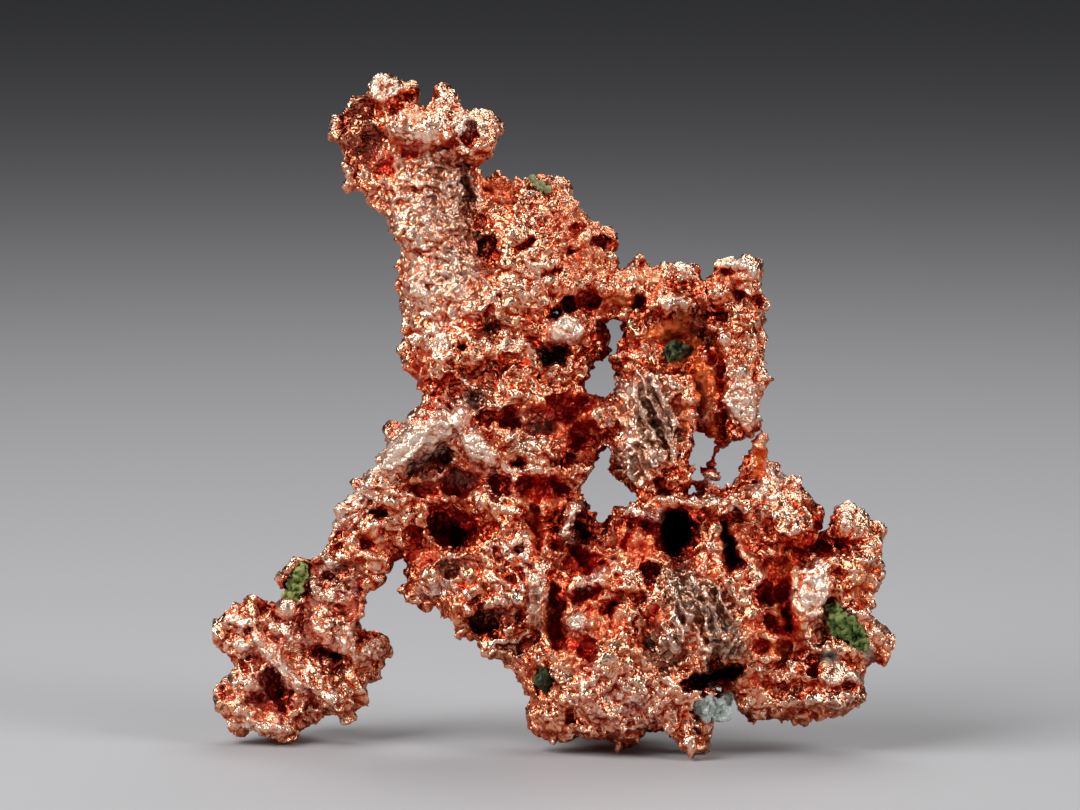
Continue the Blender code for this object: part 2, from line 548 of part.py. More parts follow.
def add_rim(bm, dice, outline, deep, radius):
    """Beads of crust just inside an outline that runs clockwise, alternately nearer and deeper."""
    for first, second in zip(outline, outline[1:]):
        first, second = Vector(first), Vector(second)
        along = second - first
        inward = Vector((along.y, -along.x)).normalized() * radius * RIM_INSET
        count = max(1, round(along.length / (0.9 * radius)))
        for step in range(count):
            spot = first.lerp(second, step / count) + inward
            wander = 1.4 * radius
            add_lump(bm, dice, spot.x, spot.y, deep + dice.uniform(-wander, wander), radius)


def add_crust(bm, dice, across, up, deep, radius, squash):
    """Small knobs half sunk in a lump, more of them the larger it is."""
    for _ in range(round(CRUST_PER_MM2 * 4 * math.pi * radius * radius)):
        way = Vector([dice.gauss(0, 1) for _ in range(3)]).normalized() * radius * CRUST_SINK
        knob = dice.uniform(*CRUST_RADIUS)
        add_lump(bm, dice, across + way.x, up + way.z, deep + way.y * squash, knob)


def add_back_ridges(bm, dice):
    """Short ridges lying over the back of the mass, along or across it."""
    lumps = [row for name, (rows, _) in LIMBS.items() for row in rows if row[3] > 2.2]
    for across, up, deep, radius in dice.sample(lumps, BACK_RIDGES):
        heading = dice.uniform(0, math.tau)
        reach = dice.uniform(0.6, 1.2) * radius
        step = Vector((math.cos(heading) * reach, math.sin(heading) * reach, dice.uniform(-0.5, 0.5)))
        middle = Vector((across, up, deep + 0.9 * radius))
        thick = dice.uniform(0.7, 1.3)
        add_ridge(bm, dice, (*(middle - step), thick), (*(middle + step), 0.7 * thick))


def copper_lumps(collection):
    dice = random.Random(SEED)
    bm = bmesh.new()
    for name, (rows, squash) in LIMBS.items():
        for row in rows:
            add_lump(bm, dice, *row, squash)
            if name != "neck":
                add_crust(bm, dice, *row, squash)
    for start, end in RIDGES:
        add_ridge(bm, dice, start, end)
    add_back_ridges(bm, dice)
    for centre, half, turn in PLATES:
        across, up, deep = centre
        flat = Matrix.Diagonal((half[0], half[2], half[1], 1))
        add_ball(bm, placed(across, up, deep, turn) @ flat)
    for outline, deep, radius in RIMS:
        add_rim(bm, dice, outline, deep, radius)
    for outline, deep, radius in WINDOWS:
        around = outline[::-1]
        add_rim(bm, dice, around + around[:1], deep, radius)
    return new_object("nugget", bm, collection)


def add_window(bm, outline):
    """A prism along the view, standing well clear of the mass at both ends."""
    curve = bpy.data.curves.new("window", "CURVE")
    curve.dimensions = "2D"
    curve.fill_mode = "BOTH"
    curve.extrude = WINDOW_REACH
    spline = curve.splines.new("POLY")
    spline.points.add(len(outline) - 1)
    for point, (across, up) in zip(spline.points, outline):
        point.co = (across, up, 0, 1)
    spline.use_cyclic_u = True
    guide = bpy.data.objects.new("window", curve)
    bpy.context.scene.collection.objects.link(guide)
    settled = settled_mesh(guide)
    bpy.data.objects.remove(guide)
    settled.transform(layout_to_world() @ Matrix.Rotation(math.radians(90), 4, "X"))
    bm.from_mesh(settled)
    bmesh.ops.remove_doubles(bm, verts=bm.verts, dist=0.001 * MM)


def hollow_cutter(collection):
    """Every window and hollow, joined in one cutter."""
    dice = random.Random(SEED + 1)
    bm = bmesh.new()
    for outline in NOTCHES + tuple(row[0] for row in WINDOWS):
        add_window(bm, outline)
    for centre, half, turn in HOLLOWS:
        across, up, deep = centre
        flat = Matrix.Diagonal((half[0], half[2], half[1], 1))
        add_ball(bm, placed(across, up, deep, turn) @ flat @ any_turn(dice))
    cutter = new_object("hollow_cutter", bm, collection)
    fuse(cutter, FUSE_VOXEL)
    return cutter


def floor_cutter(collection):
    """A slab whose top is the floor."""
    bm = bmesh.new()
    size = Matrix.Diagonal((3 * WIDTH, 3 * WIDTH, 20 * MM, 1))
    bmesh.ops.create_cube(bm, size=1, matrix=Matrix.Translation((0, 0, FLOOR_HEIGHT - 10 * MM)) @ size)
    return new_object("floor_cutter", bm, collection)


def settled_mesh(piece):
    """A piece's shape with its modifiers or bevel worked out."""
    bpy.context.view_layer.update()
    seen = piece.evaluated_get(bpy.context.evaluated_depsgraph_get())
    return bpy.data.meshes.new_from_object(seen)


def settle(piece):
    """Make a piece's modifiers part of its mesh."""
    mesh = settled_mesh(piece)
    piece.modifiers.clear()
    piece.data = mesh


def fuse(piece, voxel):
    remesh = piece.modifiers.new("fuse", "REMESH")
    remesh.mode = "VOXEL"
    remesh.voxel_size = voxel


def hackle(piece):
    """Push the surface in and out by an uneven, cell-like pattern."""
    cells = bpy.data.textures.new("hackle", "CLOUDS")
    cells.noise_basis = "VORONOI_F2_F1"
    cells.noise_scale = HACKLE_SIZE
    cells.noise_depth = 1
    push = piece.modifiers.new("hackle", "DISPLACE")
    push.texture = cells
    push.texture_coords = "GLOBAL"
    push.strength = HACKLE_DEPTH
    push.mid_level = 0.35


def keep_largest_shell(piece):
    """Drop crumbs that broke away from the mass."""
    bm = bmesh.new()
    bm.from_mesh(piece.data)
    unseen = set(bm.verts)
    shells = []
    while unseen:
        shell = set()
        front = [unseen.pop()]
        while front:
            vert = front.pop()
            shell.add(vert)
            for edge in vert.link_edges:
                other = edge.other_vert(vert)
                if other in unseen:
                    unseen.remove(other)
                    front.append(other)
        shells.append(shell)
    shells.sort(key=len)
    for shell in shells[:-1]:
        bmesh.ops.delete(bm, geom=list(shell), context="VERTS")
    bm.to_mesh(piece.data)
    bm.free()


def cut(piece, cutter):
    cutter.hide_render = True
    cutter.display_type = "WIRE"
    carve = piece.modifiers.new("cut", "BOOLEAN")
    carve.operation = "DIFFERENCE"
    carve.solver = "EXACT"
    carve.object = cutter


def thin_out(piece, faces):
    thin = piece.modifiers.new("thin", "DECIMATE")
    thin.ratio = faces / (2 * len(piece.data.polygons))


def tree_of(piece):
    bm = bmesh.new()
    bm.from_mesh(piece.data)
    tree = BVHTree.FromBMesh(bm)
    bm.free()
    return tree


def make_grain(name, rows, surface, collection):
    """Lumps that follow the face of the metal, each sunk a little into it."""
    dice = random.Random(name)
    place = layout_to_world()
    view = (place.to_3x3() @ Vector((0, 1, 0))).normalized()
    bm = bmesh.new()
    for across, up, radius in rows:
        start = place @ Vector((across, -20, up))
        hit, _, _, distance = surface.ray_cast(start, view)
        deep = distance / MM - 20 + GRAIN_SUNK * radius
        add_lump(bm, dice, across, up, deep, radius)
    grain = new_object(name, bm, collection)
    fuse(grain, GRAIN_VOXEL)
    settle(grain)
    keep_largest_shell(grain)
    thin_out(grain, GRAIN_FACES)
    settle(grain)
    return grain


def pocket_cutter(grain, collection):
    """The grain with a gap's width added all round."""
    cutter = grain.copy()
    cutter.data = grain.data.copy()
    cutter.name = grain.name + "_pocket"
    collection.objects.link(cutter)
    swell = cutter.modifiers.new("swell", "DISPLACE")
    swell.strength = GRAIN_GAP
    swell.mid_level = 0
    fuse(cutter, GRAIN_VOXEL)
    settle(cutter)
    thin_out(cutter, GRAIN_FACES)
    return cutter


def colour(piece, name, base, roughness, metallic):
    material = bpy.data.materials.new(name)
    material.use_nodes = True
    shader = material.node_tree.nodes["Principled BSDF"]
    shader.inputs["Base Color"].default_value = base
    shader.inputs["Roughness"].default_value = roughness
    shader.inputs["Metallic"].default_value = metallic
    piece.data.materials.clear()
    piece.data.materials.append(material)


def set_down(pieces):
    """Put the middle of the whole over the origin, with its lowest flats on the ground."""
    corners = [vert.co for piece in pieces for vert in piece.data.vertices]
    low = Vector([min(corner[axis] for corner in corners) for axis in range(3)])
    high = Vector([max(corner[axis] for corner in corners) for axis in range(3)])
    shift = Matrix.Translation((-(low.x + high.x) / 2, -(low.y + high.y) / 2, -low.z))
    for piece in pieces:
        piece.data.transform(shift)


def main():
    clear_scene()
    ball_mesh()
    parts = new_collection("copper_nugget")
    cutters = new_collection("cutters")
    nugget = copper_lumps(parts)
    fuse(nugget, FUSE_VOXEL)
    cut(nugget, hollow_cutter(cutters))
    hackle(nugget)
    fuse(nugget, FUSE_VOXEL)
    settle(nugget)
    keep_largest_shell(nugget)
    thin_out(nugget, FACE_BUDGET)
    settle(nugget)
    surface = tree_of(nugget)
    grains = [make_grain(name, rows, surface, parts) for name, rows in GRAINS.items()]
    for grain in grains:
        cut(nugget, pocket_cutter(grain, cutters))
    cut(nugget, floor_cutter(cutters))
    settle(nugget)
    keep_largest_shell(nugget)
    set_down([nugget] + grains)
    colour(nugget, *COPPER)
    for grain in grains:
        colour(grain, *(CALCITE if grain.name.startswith("calcite") else MALACHITE))


main()
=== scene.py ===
"""Looks for the native copper nugget: crumpled, hackly metal with grains of malachite and calcite."""

import math
import random

import bmesh
import bpy
import numpy as np
from mathutils import Euler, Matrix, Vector
from mathutils.bvhtree import BVHTree


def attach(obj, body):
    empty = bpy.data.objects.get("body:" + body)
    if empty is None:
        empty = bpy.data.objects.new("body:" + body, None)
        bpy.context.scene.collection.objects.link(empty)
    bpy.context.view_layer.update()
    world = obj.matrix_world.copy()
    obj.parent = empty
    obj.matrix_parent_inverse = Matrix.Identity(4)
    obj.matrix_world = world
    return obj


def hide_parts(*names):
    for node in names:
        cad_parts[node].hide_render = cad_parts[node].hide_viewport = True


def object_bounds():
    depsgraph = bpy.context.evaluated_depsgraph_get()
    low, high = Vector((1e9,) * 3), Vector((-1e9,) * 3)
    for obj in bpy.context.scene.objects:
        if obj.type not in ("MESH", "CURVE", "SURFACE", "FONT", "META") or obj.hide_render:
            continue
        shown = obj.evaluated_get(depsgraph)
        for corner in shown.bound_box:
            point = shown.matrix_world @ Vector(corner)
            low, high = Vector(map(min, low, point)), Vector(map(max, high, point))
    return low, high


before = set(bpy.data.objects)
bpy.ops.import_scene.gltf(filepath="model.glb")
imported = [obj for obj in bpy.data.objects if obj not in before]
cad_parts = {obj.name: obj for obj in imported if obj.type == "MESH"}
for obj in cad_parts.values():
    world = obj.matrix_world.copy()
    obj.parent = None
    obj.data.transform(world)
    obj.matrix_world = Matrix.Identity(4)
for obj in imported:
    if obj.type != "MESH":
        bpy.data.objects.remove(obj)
cad_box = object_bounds()

MM = 0.001

# The layout is the nugget seen face on, in millimetres. It is leaned by the camera's angle and set down.
WIDTH = 67.7
LEAN = math.radians(7.0)
SET_DOWN = (0.015, -3.962, -0.6)

# Remeshing: voxels, smoothing passes, and the share and number of triangles that a patch keeps.
FORM_VOXEL = 0.26 * MM
FINE_VOXEL = 0.14 * MM
FORM_SOFTENING = 8
SKIN_SOFTENING = 3
TRIANGLE_SHARE = 0.66
PATCH_LIMIT = 180000

# A patch's reach past its rectangle, its sinking there for each millimetre, and its block's depth.
OVERLAP = 1.2
SINKING = 0.4
BLOCK_DEPTH = 60.0

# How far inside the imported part's front and back the skin starts to ease in.
EASE = 0.7 * MM

# Hollows of this depth or more get a sharper rim and are painted near black as shade.
VOID_DEPTH = 3.0
VOID_EDGE = 0.12

# The crumple of the skin, coarse to fine: size and height in millimetres.
SWELL = (3.4, 0.40)
PLATES = (2.4, 0.95)
SPLINTERS = (1.1, 0.42)
COARSE_BEADS = (1.1, 0.40)
FINE_BEADS = (0.6, 0.17)
WRINKLES = (1.1, 0.36)
FINE_FACETS = (0.6, 0.16)
WRINKLE_STRETCH = np.array((0.6, 1.0, 1.3), np.float32)

# How the crumple and the tables' edges wander: size and reach.
WARP = (0.9, 0.3)
COARSE_WANDER = (2.1, 0.42)
FINE_WANDER = (0.8, 0.24)
PLEAT_WANDER = (2.0, 0.25)

# How deep beads and films fade behind the front, and the size of the loose fields of beads.
BEADS_FADE = 5.0
FILM_FADE = 3.0
BEAD_FIELDS = 7.0

# The grains' crystal faces, coarse and fine: size and height in millimetres.
CRYSTALS = (1.5, 0.75)
SPLITS = (0.6, 0.25)

# Rays that tell open places from sheltered ones, for the painted shade in sheltered places: how many, their
# start and their reach.
RAYS = 14
RAY_START = 0.12 * MM
RAY_REACH = 8 * MM
THINNED_SHARE = 0.35

# The height above the smoothed skin that counts as a full crest.
CREST_HEIGHT = 0.12
CREST_SMOOTHING = 14

# The skin's patches: name, and the least and greatest (across, up) of each.
PATCHES = (
    ("crown", (-5.0, 51.0), (45.0, 75.0)),
    ("shoulder", (-5.0, 38.0), (39.3, 51.0)),
    ("arm", (39.3, 27.3), (75.0, 51.0)),
    ("waist", (-5.0, 20.0), (39.3, 38.0)),
    ("base", (18.0, -5.0), (39.3, 20.0)),
    ("belly", (39.3, -5.0), (75.0, 27.3)),
    ("foot", (-5.0, -5.0), (18.0, 20.0)),
)

# Places below are (across, up) in millimetres, face on, from the left foot's edge and the front lobe's base.
# An oval is a centre, its half sizes across and up, and the turn of its top to the right in degrees.

# Blocks that stand out, with their height.
BLOCKS = (
    ((17.0, 66.3), (1.7, 1.2), 30, 0.9),
    ((20.4, 62.4), (2.9, 1.7), 5, 0.9),
    ((22.9, 65.2), (1.0, 1.6), 0, 0.6),
    ((26.0, 61.9), (2.2, 2.6), 0, 0.8),
    ((20.6, 51.6), (1.8, 1.4), -30, 0.5),
    ((20.2, 46.6), (1.3, 1.6), 0, 0.4),
    ((27.0, 45.4), (0.9, 2.4), 55, 0.5),
    ((22.0, 41.2), (1.7, 1.2), 20, 0.6),
    ((34.9, 42.3), (1.9, 1.4), -10, 1.7),
    ((30.0, 40.8), (1.6, 1.2), 0, 0.6),
    ((46.4, 45.0), (2.3, 0.9), 15, 0.7),
    ((53.2, 46.3), (1.5, 1.0), -40, 0.6),
    ((52.3, 48.2), (2.1, 0.9), 25, 0.8),
    ((52.4, 35.6), (1.9, 3.6), 0, 0.8),
    ((49.4, 36.4), (1.1, 4.2), -4, 2.2),
    ((50.3, 41.6), (0.9, 1.6), 0, 1.4),
    ((47.4, 48.0), (1.3, 0.9), 0, 0.7),
    ((42.8, 34.2), (2.6, 3.6), -20, 0.9),
    ((42.3, 29.4), (2.3, 2.4), -15, 1.1),
    ((46.4, 30.2), (0.9, 3.2), -22, 0.7),
    ((20.6, 31.2), (1.3, 5.2), 57, 1.1),
    ((26.3, 30.6), (1.0, 2.5), -38, 1.2),
    ((39.0, 33.7), (1.3, 1.2), 0, 0.8),
    ((30.8, 31.2), (1.6, 1.2), 0, 0.6),
    ((35.9, 24.2), (0.55, 1.5), 38, 1.6),
    ((35.3, 22.2), (0.8, 1.5), 10, 1.3),
    ((42.4, 24.1), (2.4, 0.6), 8, 1.0),
    ((48.0, 25.5), (3.0, 0.7), 10, 1.0),
    ((55.0, 26.0), (1.4, 2.2), -15, 0.5),
    ((57.2, 23.4), (1.2, 1.8), -25, 0.5),
    ((59.6, 16.6), (1.5, 3.0), 8, 1.4),
    ((63.6, 23.4), (1.6, 1.8), 0, 0.6),
    ((65.8, 11.8), (1.3, 1.6), 0, 0.4),
    ((46.2, 16.2), (0.8, 3.0), -25, 0.8),
    ((48.4, 16.0), (0.6, 3.0), -32, 0.7),
    ((50.6, 10.8), (2.2, 1.3), 10, 0.9),
    ((45.0, 12.0), (0.8, 2.0), -30, 0.6),
    ((36.3, 13.3), (0.9, 1.4), 25, 1.1),
    ((32.2, 15.4), (0.8, 2.6), 8, 0.9),
    ((28.5, 15.3), (1.5, 0.7), -15, 0.9),
    ((25.8, 16.2), (0.6, 1.1), 20, 0.6),
    ((30.4, 20.8), (1.5, 1.2), 20, 0.7),
    ((21.6, 17.2), (1.9, 1.2), -10, 0.5),
    ((41.0, 18.5), (2.4, 0.6), 20, 0.7),
    ((38.6, 17.4), (1.7, 0.5), -35, 0.8),
    ((38.8, 9.0), (1.6, 1.1), 0, 0.4),
    ((61.8, 8.3), (2.4, 1.0), 5, 0.8),
    ((61.5, 5.8), (2.8, 0.8), 0, 0.6),
    ((6.6, 9.2), (0.75, 3.6), -39, 1.2),
    ((2.2, 13.0), (1.5, 1.1), 10, 0.6),
    ((2.6, 10.7), (1.2, 0.7), 0, 0.6),
    ((3.3, 7.5), (1.3, 0.7), -5, 0.8),
    ((7.9, 12.4), (0.8, 1.3), 0, 0.6),
    ((12.0, 6.5), (1.5, 1.1), -10, 0.6),
    ((13.6, 11.0), (0.8, 1.8), -10, 0.5),
    ((16.0, 10.4), (1.1, 1.4), -20, 0.5),
    ((4.6, 2.9), (3.4, 0.45), 3, 0.7),
    ((10.6, 16.0), (1.8, 0.6), 15, 0.6),
    ((18.8, 25.6), (1.7, 0.7), -15, 0.5),
)

# Hollows, with their depth.
HOLLOWS = (
    ((15.3, 61.6), (2.4, 3.3), -12, 1.3),
    ((16.4, 58.6), (1.7, 0.7), 15, 1.4),
    ((19.8, 60.2), (1.1, 0.35), 0, 1.6),
    ((23.0, 60.4), (1.4, 0.5), -15, 1.2),
    ((25.6, 61.8), (0.9, 1.1), 20, 1.9),
    ((27.0, 59.7), (0.6, 0.35), 0, 1.0),
    ((18.6, 63.8), (0.8, 0.9), 20, 0.9),
    ((19.9, 65.7), (0.7, 0.25), 0, 0.8),
    ((25.2, 56.0), (0.26, 3.0), -3, 0.9),
    ((21.6, 55.8), (0.45, 1.0), 25, 0.7),
    ((27.3, 50.3), (0.75, 1.1), 0, 1.3),
    ((20.5, 49.9), (0.9, 0.3), 0, 0.7),
    ((28.0, 45.4), (0.18, 1.8), 30, 0.9),
    ((27.6, 42.5), (0.9, 0.8), 0, 0.8),
    ((24.9, 40.4), (0.45, 0.7), -10, 1.6),
    ((31.0, 50.8), (1.3, 0.35), -15, 1.0),
    ((33.4, 50.8), (0.7, 0.28), 0, 1.0),
    ((33.6, 48.0), (1.0, 0.5), 0, 1.3),
    ((35.4, 50.1), (0.5, 0.35), 0, 1.0),
    ((28.3, 56.3), (1.3, 0.8), 0, 0.8),
    ((36.2, 52.3), (0.9, 0.7), -20, 1.1),
    ((38.4, 51.0), (0.7, 0.6), 0, 1.4),
    ((33.4, 45.6), (0.5, 0.4), 0, 1.4),
    ((35.6, 44.8), (0.7, 0.8), 0, 2.2),
    ((37.4, 45.0), (0.8, 1.1), 20, 1.8),
    ((42.3, 44.8), (0.8, 0.6), 0, 1.5),
    ((33.9, 39.7), (1.3, 0.9), 0, 2.4),
    ((46.0, 41.8), (2.3, 0.7), -10, 1.8),
    ((46.6, 42.6), (0.8, 0.7), 0, 1.4),
    ((49.2, 41.8), (0.6, 0.9), 0, 0.8),
    ((51.6, 48.0), (1.2, 0.5), -10, 1.6),
    ((54.3, 45.3), (0.5, 0.6), 0, 1.0),
    ((52.2, 45.8), (0.4, 0.7), -20, 1.0),
    ((50.8, 44.0), (0.8, 0.6), 0, 1.0),
    ((53.9, 38.0), (0.5, 1.2), 10, 1.0),
    ((46.6, 31.8), (0.7, 1.2), 0, 1.1),
    ((34.6, 34.4), (3.0, 1.3), -12, 2.0),
    ((36.6, 31.8), (1.5, 1.7), 0, 1.7),
    ((32.6, 33.0), (1.4, 0.9), 0, 1.8),
    ((29.6, 33.4), (1.0, 1.2), 20, 1.8),
    ((27.3, 33.6), (1.1, 0.6), -20, 1.0),
    ((26.0, 35.5), (1.3, 0.7), -20, 1.3),
    ((30.3, 29.0), (0.8, 0.5), -20, 1.4),
    ((35.0, 29.4), (0.9, 0.5), 0, 2.2),
    ((32.8, 26.3), (2.7, 1.1), 8, 2.0),
    ((32.2, 22.6), (0.5, 2.2), -6, 1.9),
    ((34.0, 21.2), (0.6, 0.9), 10, 2.2),
    ((36.7, 22.0), (0.6, 1.0), 0, 2.0),
    ((37.0, 19.6), (2.6, 0.8), 20, 1.8),
    ((21.6, 29.2), (1.0, 2.2), 60, 1.1),
    ((24.6, 27.2), (1.9, 1.2), 5, 2.2),
    ((21.4, 26.4), (0.8, 1.0), 20, 1.6),
    ((24.4, 22.4), (2.2, 1.6), 8, 2.2),
    ((24.3, 21.8), (0.9, 0.9), 30, 3.6),
    ((28.5, 27.0), (0.5, 1.2), -30, 1.2),
    ((16.5, 24.2), (1.0, 0.6), 10, 1.3),
    ((15.3, 21.4), (0.7, 0.7), 0, 1.4),
    ((20.2, 22.3), (0.5, 0.4), 0, 1.2),
    ((12.6, 18.2), (1.2, 0.8), -20, 1.0),
    ((14.4, 16.4), (0.5, 0.6), 0, 1.4),
    ((46.1, 22.3), (1.6, 2.2), 4, 5.0),
    ((51.1, 21.6), (0.55, 1.9), -12, 3.8),
    ((51.8, 19.2), (1.1, 0.5), 0, 3.4),
    ((43.4, 18.2), (0.28, 1.5), -6, 2.0),
    ((43.6, 22.8), (0.9, 0.7), 0, 1.6),
    ((41.5, 21.5), (0.4, 1.3), 15, 1.5),
    ((23.7, 18.8), (1.0, 1.0), 0, 0.9),
    ((27.8, 13.6), (1.7, 1.4), 0, 1.2),
    ((30.4, 20.7), (0.8, 0.6), 20, 1.2),
    ((33.7, 15.6), (0.4, 1.6), -3, 2.0),
    ((33.9, 12.6), (0.6, 1.2), -3, 1.2),
    ((34.4, 11.0), (0.6, 0.8), 20, 1.2),
    ((37.4, 16.3), (1.7, 0.7), -15, 2.3),
    ((39.4, 14.8), (0.9, 0.6), -35, 2.0),
    ((37.4, 10.6), (0.9, 0.9), 0, 1.2),
    ((43.6, 13.9), (1.0, 1.1), 0, 1.4),
    ((35.8, 3.6), (0.8, 0.6), 0, 1.2),
    ((41.2, 6.4), (3.4, 2.6), 0, 0.5),
    ((44.0, 2.6), (0.8, 0.5), 0, 1.0),
    ((48.3, 7.6), (1.8, 0.7), -8, 3.2),
    ((51.3, 8.3), (1.7, 0.65), -14, 3.2),
    ((55.9, 18.9), (1.3, 0.9), 30, 1.6),
    ((56.7, 16.6), (0.8, 1.2), 0, 2.2),
    ((54.9, 16.4), (0.8, 0.9), 30, 1.2),
    ((57.3, 13.4), (0.7, 1.3), -10, 2.2),
    ((55.6, 13.2), (0.9, 0.8), 20, 1.3),
    ((56.6, 10.6), (0.8, 0.7), 20, 1.4),
    ((54.2, 10.9), (1.0, 0.6), 20, 1.2),
    ((60.2, 20.6), (1.3, 0.6), 12, 1.5),
    ((62.4, 20.9), (0.6, 0.5), 0, 1.0),
    ((66.0, 22.2), (0.5, 0.7), 0, 0.9),
    ((60.2, 12.0), (0.9, 0.8), 0, 1.0),
    ((60.0, 8.5), (0.8, 0.5), 0, 1.8),
    ((63.2, 6.9), (1.4, 0.3), 0, 0.9),
    ((5.9, 11.5), (0.65, 1.1), -30, 0.9),
    ((6.2, 6.2), (1.1, 2.0), -28, 1.1),
    ((1.3, 6.0), (0.8, 0.8), 0, 1.1),
    ((3.5, 12.2), (0.3, 0.45), 0, 0.9),
    ((3.4, 9.8), (0.5, 0.4), 0, 0.9),
    ((4.0, 5.2), (1.4, 0.35), -5, 1.0),
    ((10.9, 10.2), (0.8, 0.5), 0, 1.2),
    ((9.6, 5.8), (0.3, 1.3), -35, 0.9),
    ((13.6, 4.4), (0.7, 0.4), 0, 0.9),
    ((14.5, 11.2), (0.3, 0.9), 0, 0.7),
)

# Crests: the points that each runs through, its half width and its height.
CRESTS = (
    (((24.0, 38.2), (25.4, 36.9), (26.8, 36.2), (27.6, 34.9), (29.0, 34.4)), 0.35, 0.8),
    (((28.6, 28.9), (29.8, 27.9), (31.6, 28.5), (33.4, 28.1)), 0.35, 0.8),
    (((21.3, 27.2), (23.0, 28.2), (24.2, 29.3), (24.0, 31.2)), 0.25, 0.7),
    (((36.9, 27.4), (36.9, 26.0), (36.0, 24.6)), 0.3, 0.8),
    (((40.2, 35.7), (41.2, 36.9), (42.6, 37.9), (44.8, 37.9), (46.2, 36.4)), 0.35, 0.6),
    (((39.8, 31.2), (41.4, 32.6), (43.2, 31.0), (45.2, 28.6)), 0.3, 0.7),
    (((30.0, 15.0), (30.8, 16.6), (32.0, 17.8), (33.4, 18.7)), 0.35, 0.9),
    (((26.6, 11.5), (28.6, 11.3), (29.9, 11.2), (31.4, 12.3)), 0.25, 0.7),
    (((27.2, 18.0), (28.4, 17.2), (29.4, 15.8)), 0.25, 0.7),
    (((32.4, 12.6), (33.0, 15.0), (33.2, 17.6)), 0.2, 0.6),
    (((46.0, 14.6), (46.5, 13.2), (47.0, 12.6)), 0.3, 0.7),
    (((50.0, 12.6), (52.4, 13.0)), 0.2, 0.5),
    (((48.6, 9.4), (50.2, 11.0), (52.0, 12.0)), 0.25, 0.6),
    (((50.2, 9.2), (51.6, 10.4), (52.6, 11.8)), 0.25, 0.6),
    (((53.4, 17.0), (55.0, 18.2), (56.2, 20.2)), 0.2, 0.6),
    (((54.0, 14.6), (55.4, 14.8), (56.2, 15.2)), 0.25, 0.6),
    (((54.6, 12.0), (55.8, 11.8), (56.4, 12.2)), 0.25, 0.6),
    (((57.8, 18.4), (57.6, 16.0), (58.4, 13.0), (60.0, 10.4)), 0.3, 0.7),
    (((17.0, 60.8), (16.6, 59.2), (15.0, 58.0)), 0.3, 0.4),
    (((20.8, 55.0), (22.2, 56.4), (24.0, 56.9)), 0.25, 0.5),
    (((22.2, 59.8), (23.6, 59.6), (24.4, 58.4), (24.6, 55.8)), 0.25, 0.5),
    (((26.0, 43.6), (27.2, 45.2), (28.6, 46.8)), 0.3, 0.5),
    (((12.9, 13.6), (13.8, 12.6), (14.6, 11.6)), 0.2, 0.5),
    (((12.4, 12.2), (13.2, 10.4), (13.8, 9.0)), 0.2, 0.5),
    (((9.2, 8.2), (9.4, 6.8), (10.6, 5.6)), 0.2, 0.4),
    (((43.5, 26.8), (44.0, 25.6), (44.8, 25.0)), 0.3, 0.4),
)

# Openings right through the mass, and how far the skin draws back from each.
OPENINGS = (
    ((39.6, 42.4), (1.5, 2.4), 0, 0.4),
    ((38.3, 37.6), (2.1, 2.1), 0, 0.4),
    ((39.2, 27.2), (2.6, 4.4), -10, 0.35),
    ((47.9, 29.0), (1.7, 2.8), 0, 0.3),
    ((51.4, 29.2), (1.6, 2.3), 0, 0.3),
)

# Pleats: oval, how far their run leans right, spacing and height.
PLEATS = (
    ((43.4, 34.0), (2.8, 4.0), -15, -26, 1.15, 1.05),
    ((42.6, 29.4), (2.2, 2.4), -15, -34, 1.3, 0.8),
    ((46.6, 30.0), (1.0, 3.2), -22, -24, 0.8, 0.5),
    ((48.6, 15.2), (2.8, 4.0), -15, -28, 1.25, 0.8),
    ((51.0, 10.8), (2.2, 1.6), 10, 25, 0.9, 0.5),
    ((45.0, 12.4), (2.0, 2.4), -20, -32, 1.3, 0.6),
    ((6.6, 9.2), (1.0, 3.6), -39, -39, 0.55, 0.35),
    ((29.6, 17.8), (2.2, 2.6), 0, -42, 1.2, 0.5),
    ((32.2, 15.4), (1.2, 2.8), 8, 8, 0.9, 0.5),
    ((42.4, 24.1), (2.6, 0.8), 8, 84, 0.5, 0.35),
    ((48.0, 25.6), (3.2, 1.0), 10, 78, 0.55, 0.35),
    ((13.4, 23.2), (1.5, 3.4), 42, 44, 0.9, 0.45),
    ((19.4, 30.8), (1.5, 4.6), 56, 52, 1.1, 0.3),
    ((17.0, 66.4), (1.6, 1.2), 30, 24, 0.45, 0.25),
    ((37.4, 19.4), (3.2, 1.2), 20, 66, 0.8, 0.4),
    ((14.0, 10.8), (1.6, 2.2), -10, 12, 1.0, 0.4),
    ((34.2, 52.0), (1.6, 0.9), 0, 80, 0.6, 0.35),
)

# Smooth foil: ovals with fine wrinkles alone.
FOIL = (
    ((21.4, 55.5), (3.8, 5.2), -18),
    ((22.6, 47.6), (3.8, 5.0), -8),
    ((26.0, 56.6), (0.7, 2.8), 6),
    ((43.4, 34.0), (2.6, 4.0), -15),
    ((42.4, 29.4), (2.0, 2.2), -15),
    ((20.6, 31.2), (1.5, 5.2), 57),
    ((26.3, 30.6), (1.0, 2.4), -38),
    ((34.9, 42.3), (1.8, 1.3), -10),
    ((17.0, 66.3), (1.6, 1.1), 30),
    ((35.3, 22.6), (0.8, 2.0), 14),
    ((59.6, 15.8), (1.7, 3.4), 6),
    ((48.4, 15.4), (2.6, 3.8), -18),
    ((13.8, 10.8), (1.2, 2.0), -10),
    ((16.0, 10.6), (1.1, 1.4), -20),
    ((2.2, 13.0), (1.4, 1.0), 10),
    ((2.6, 10.7), (1.1, 0.6), 0),
    ((6.6, 9.2), (0.8, 3.6), -39),
    ((23.6, 18.8), (1.2, 1.2), 0),
    ((32.2, 15.4), (0.9, 2.6), 8),
    ((53.0, 35.6), (1.6, 3.0), 0),
)

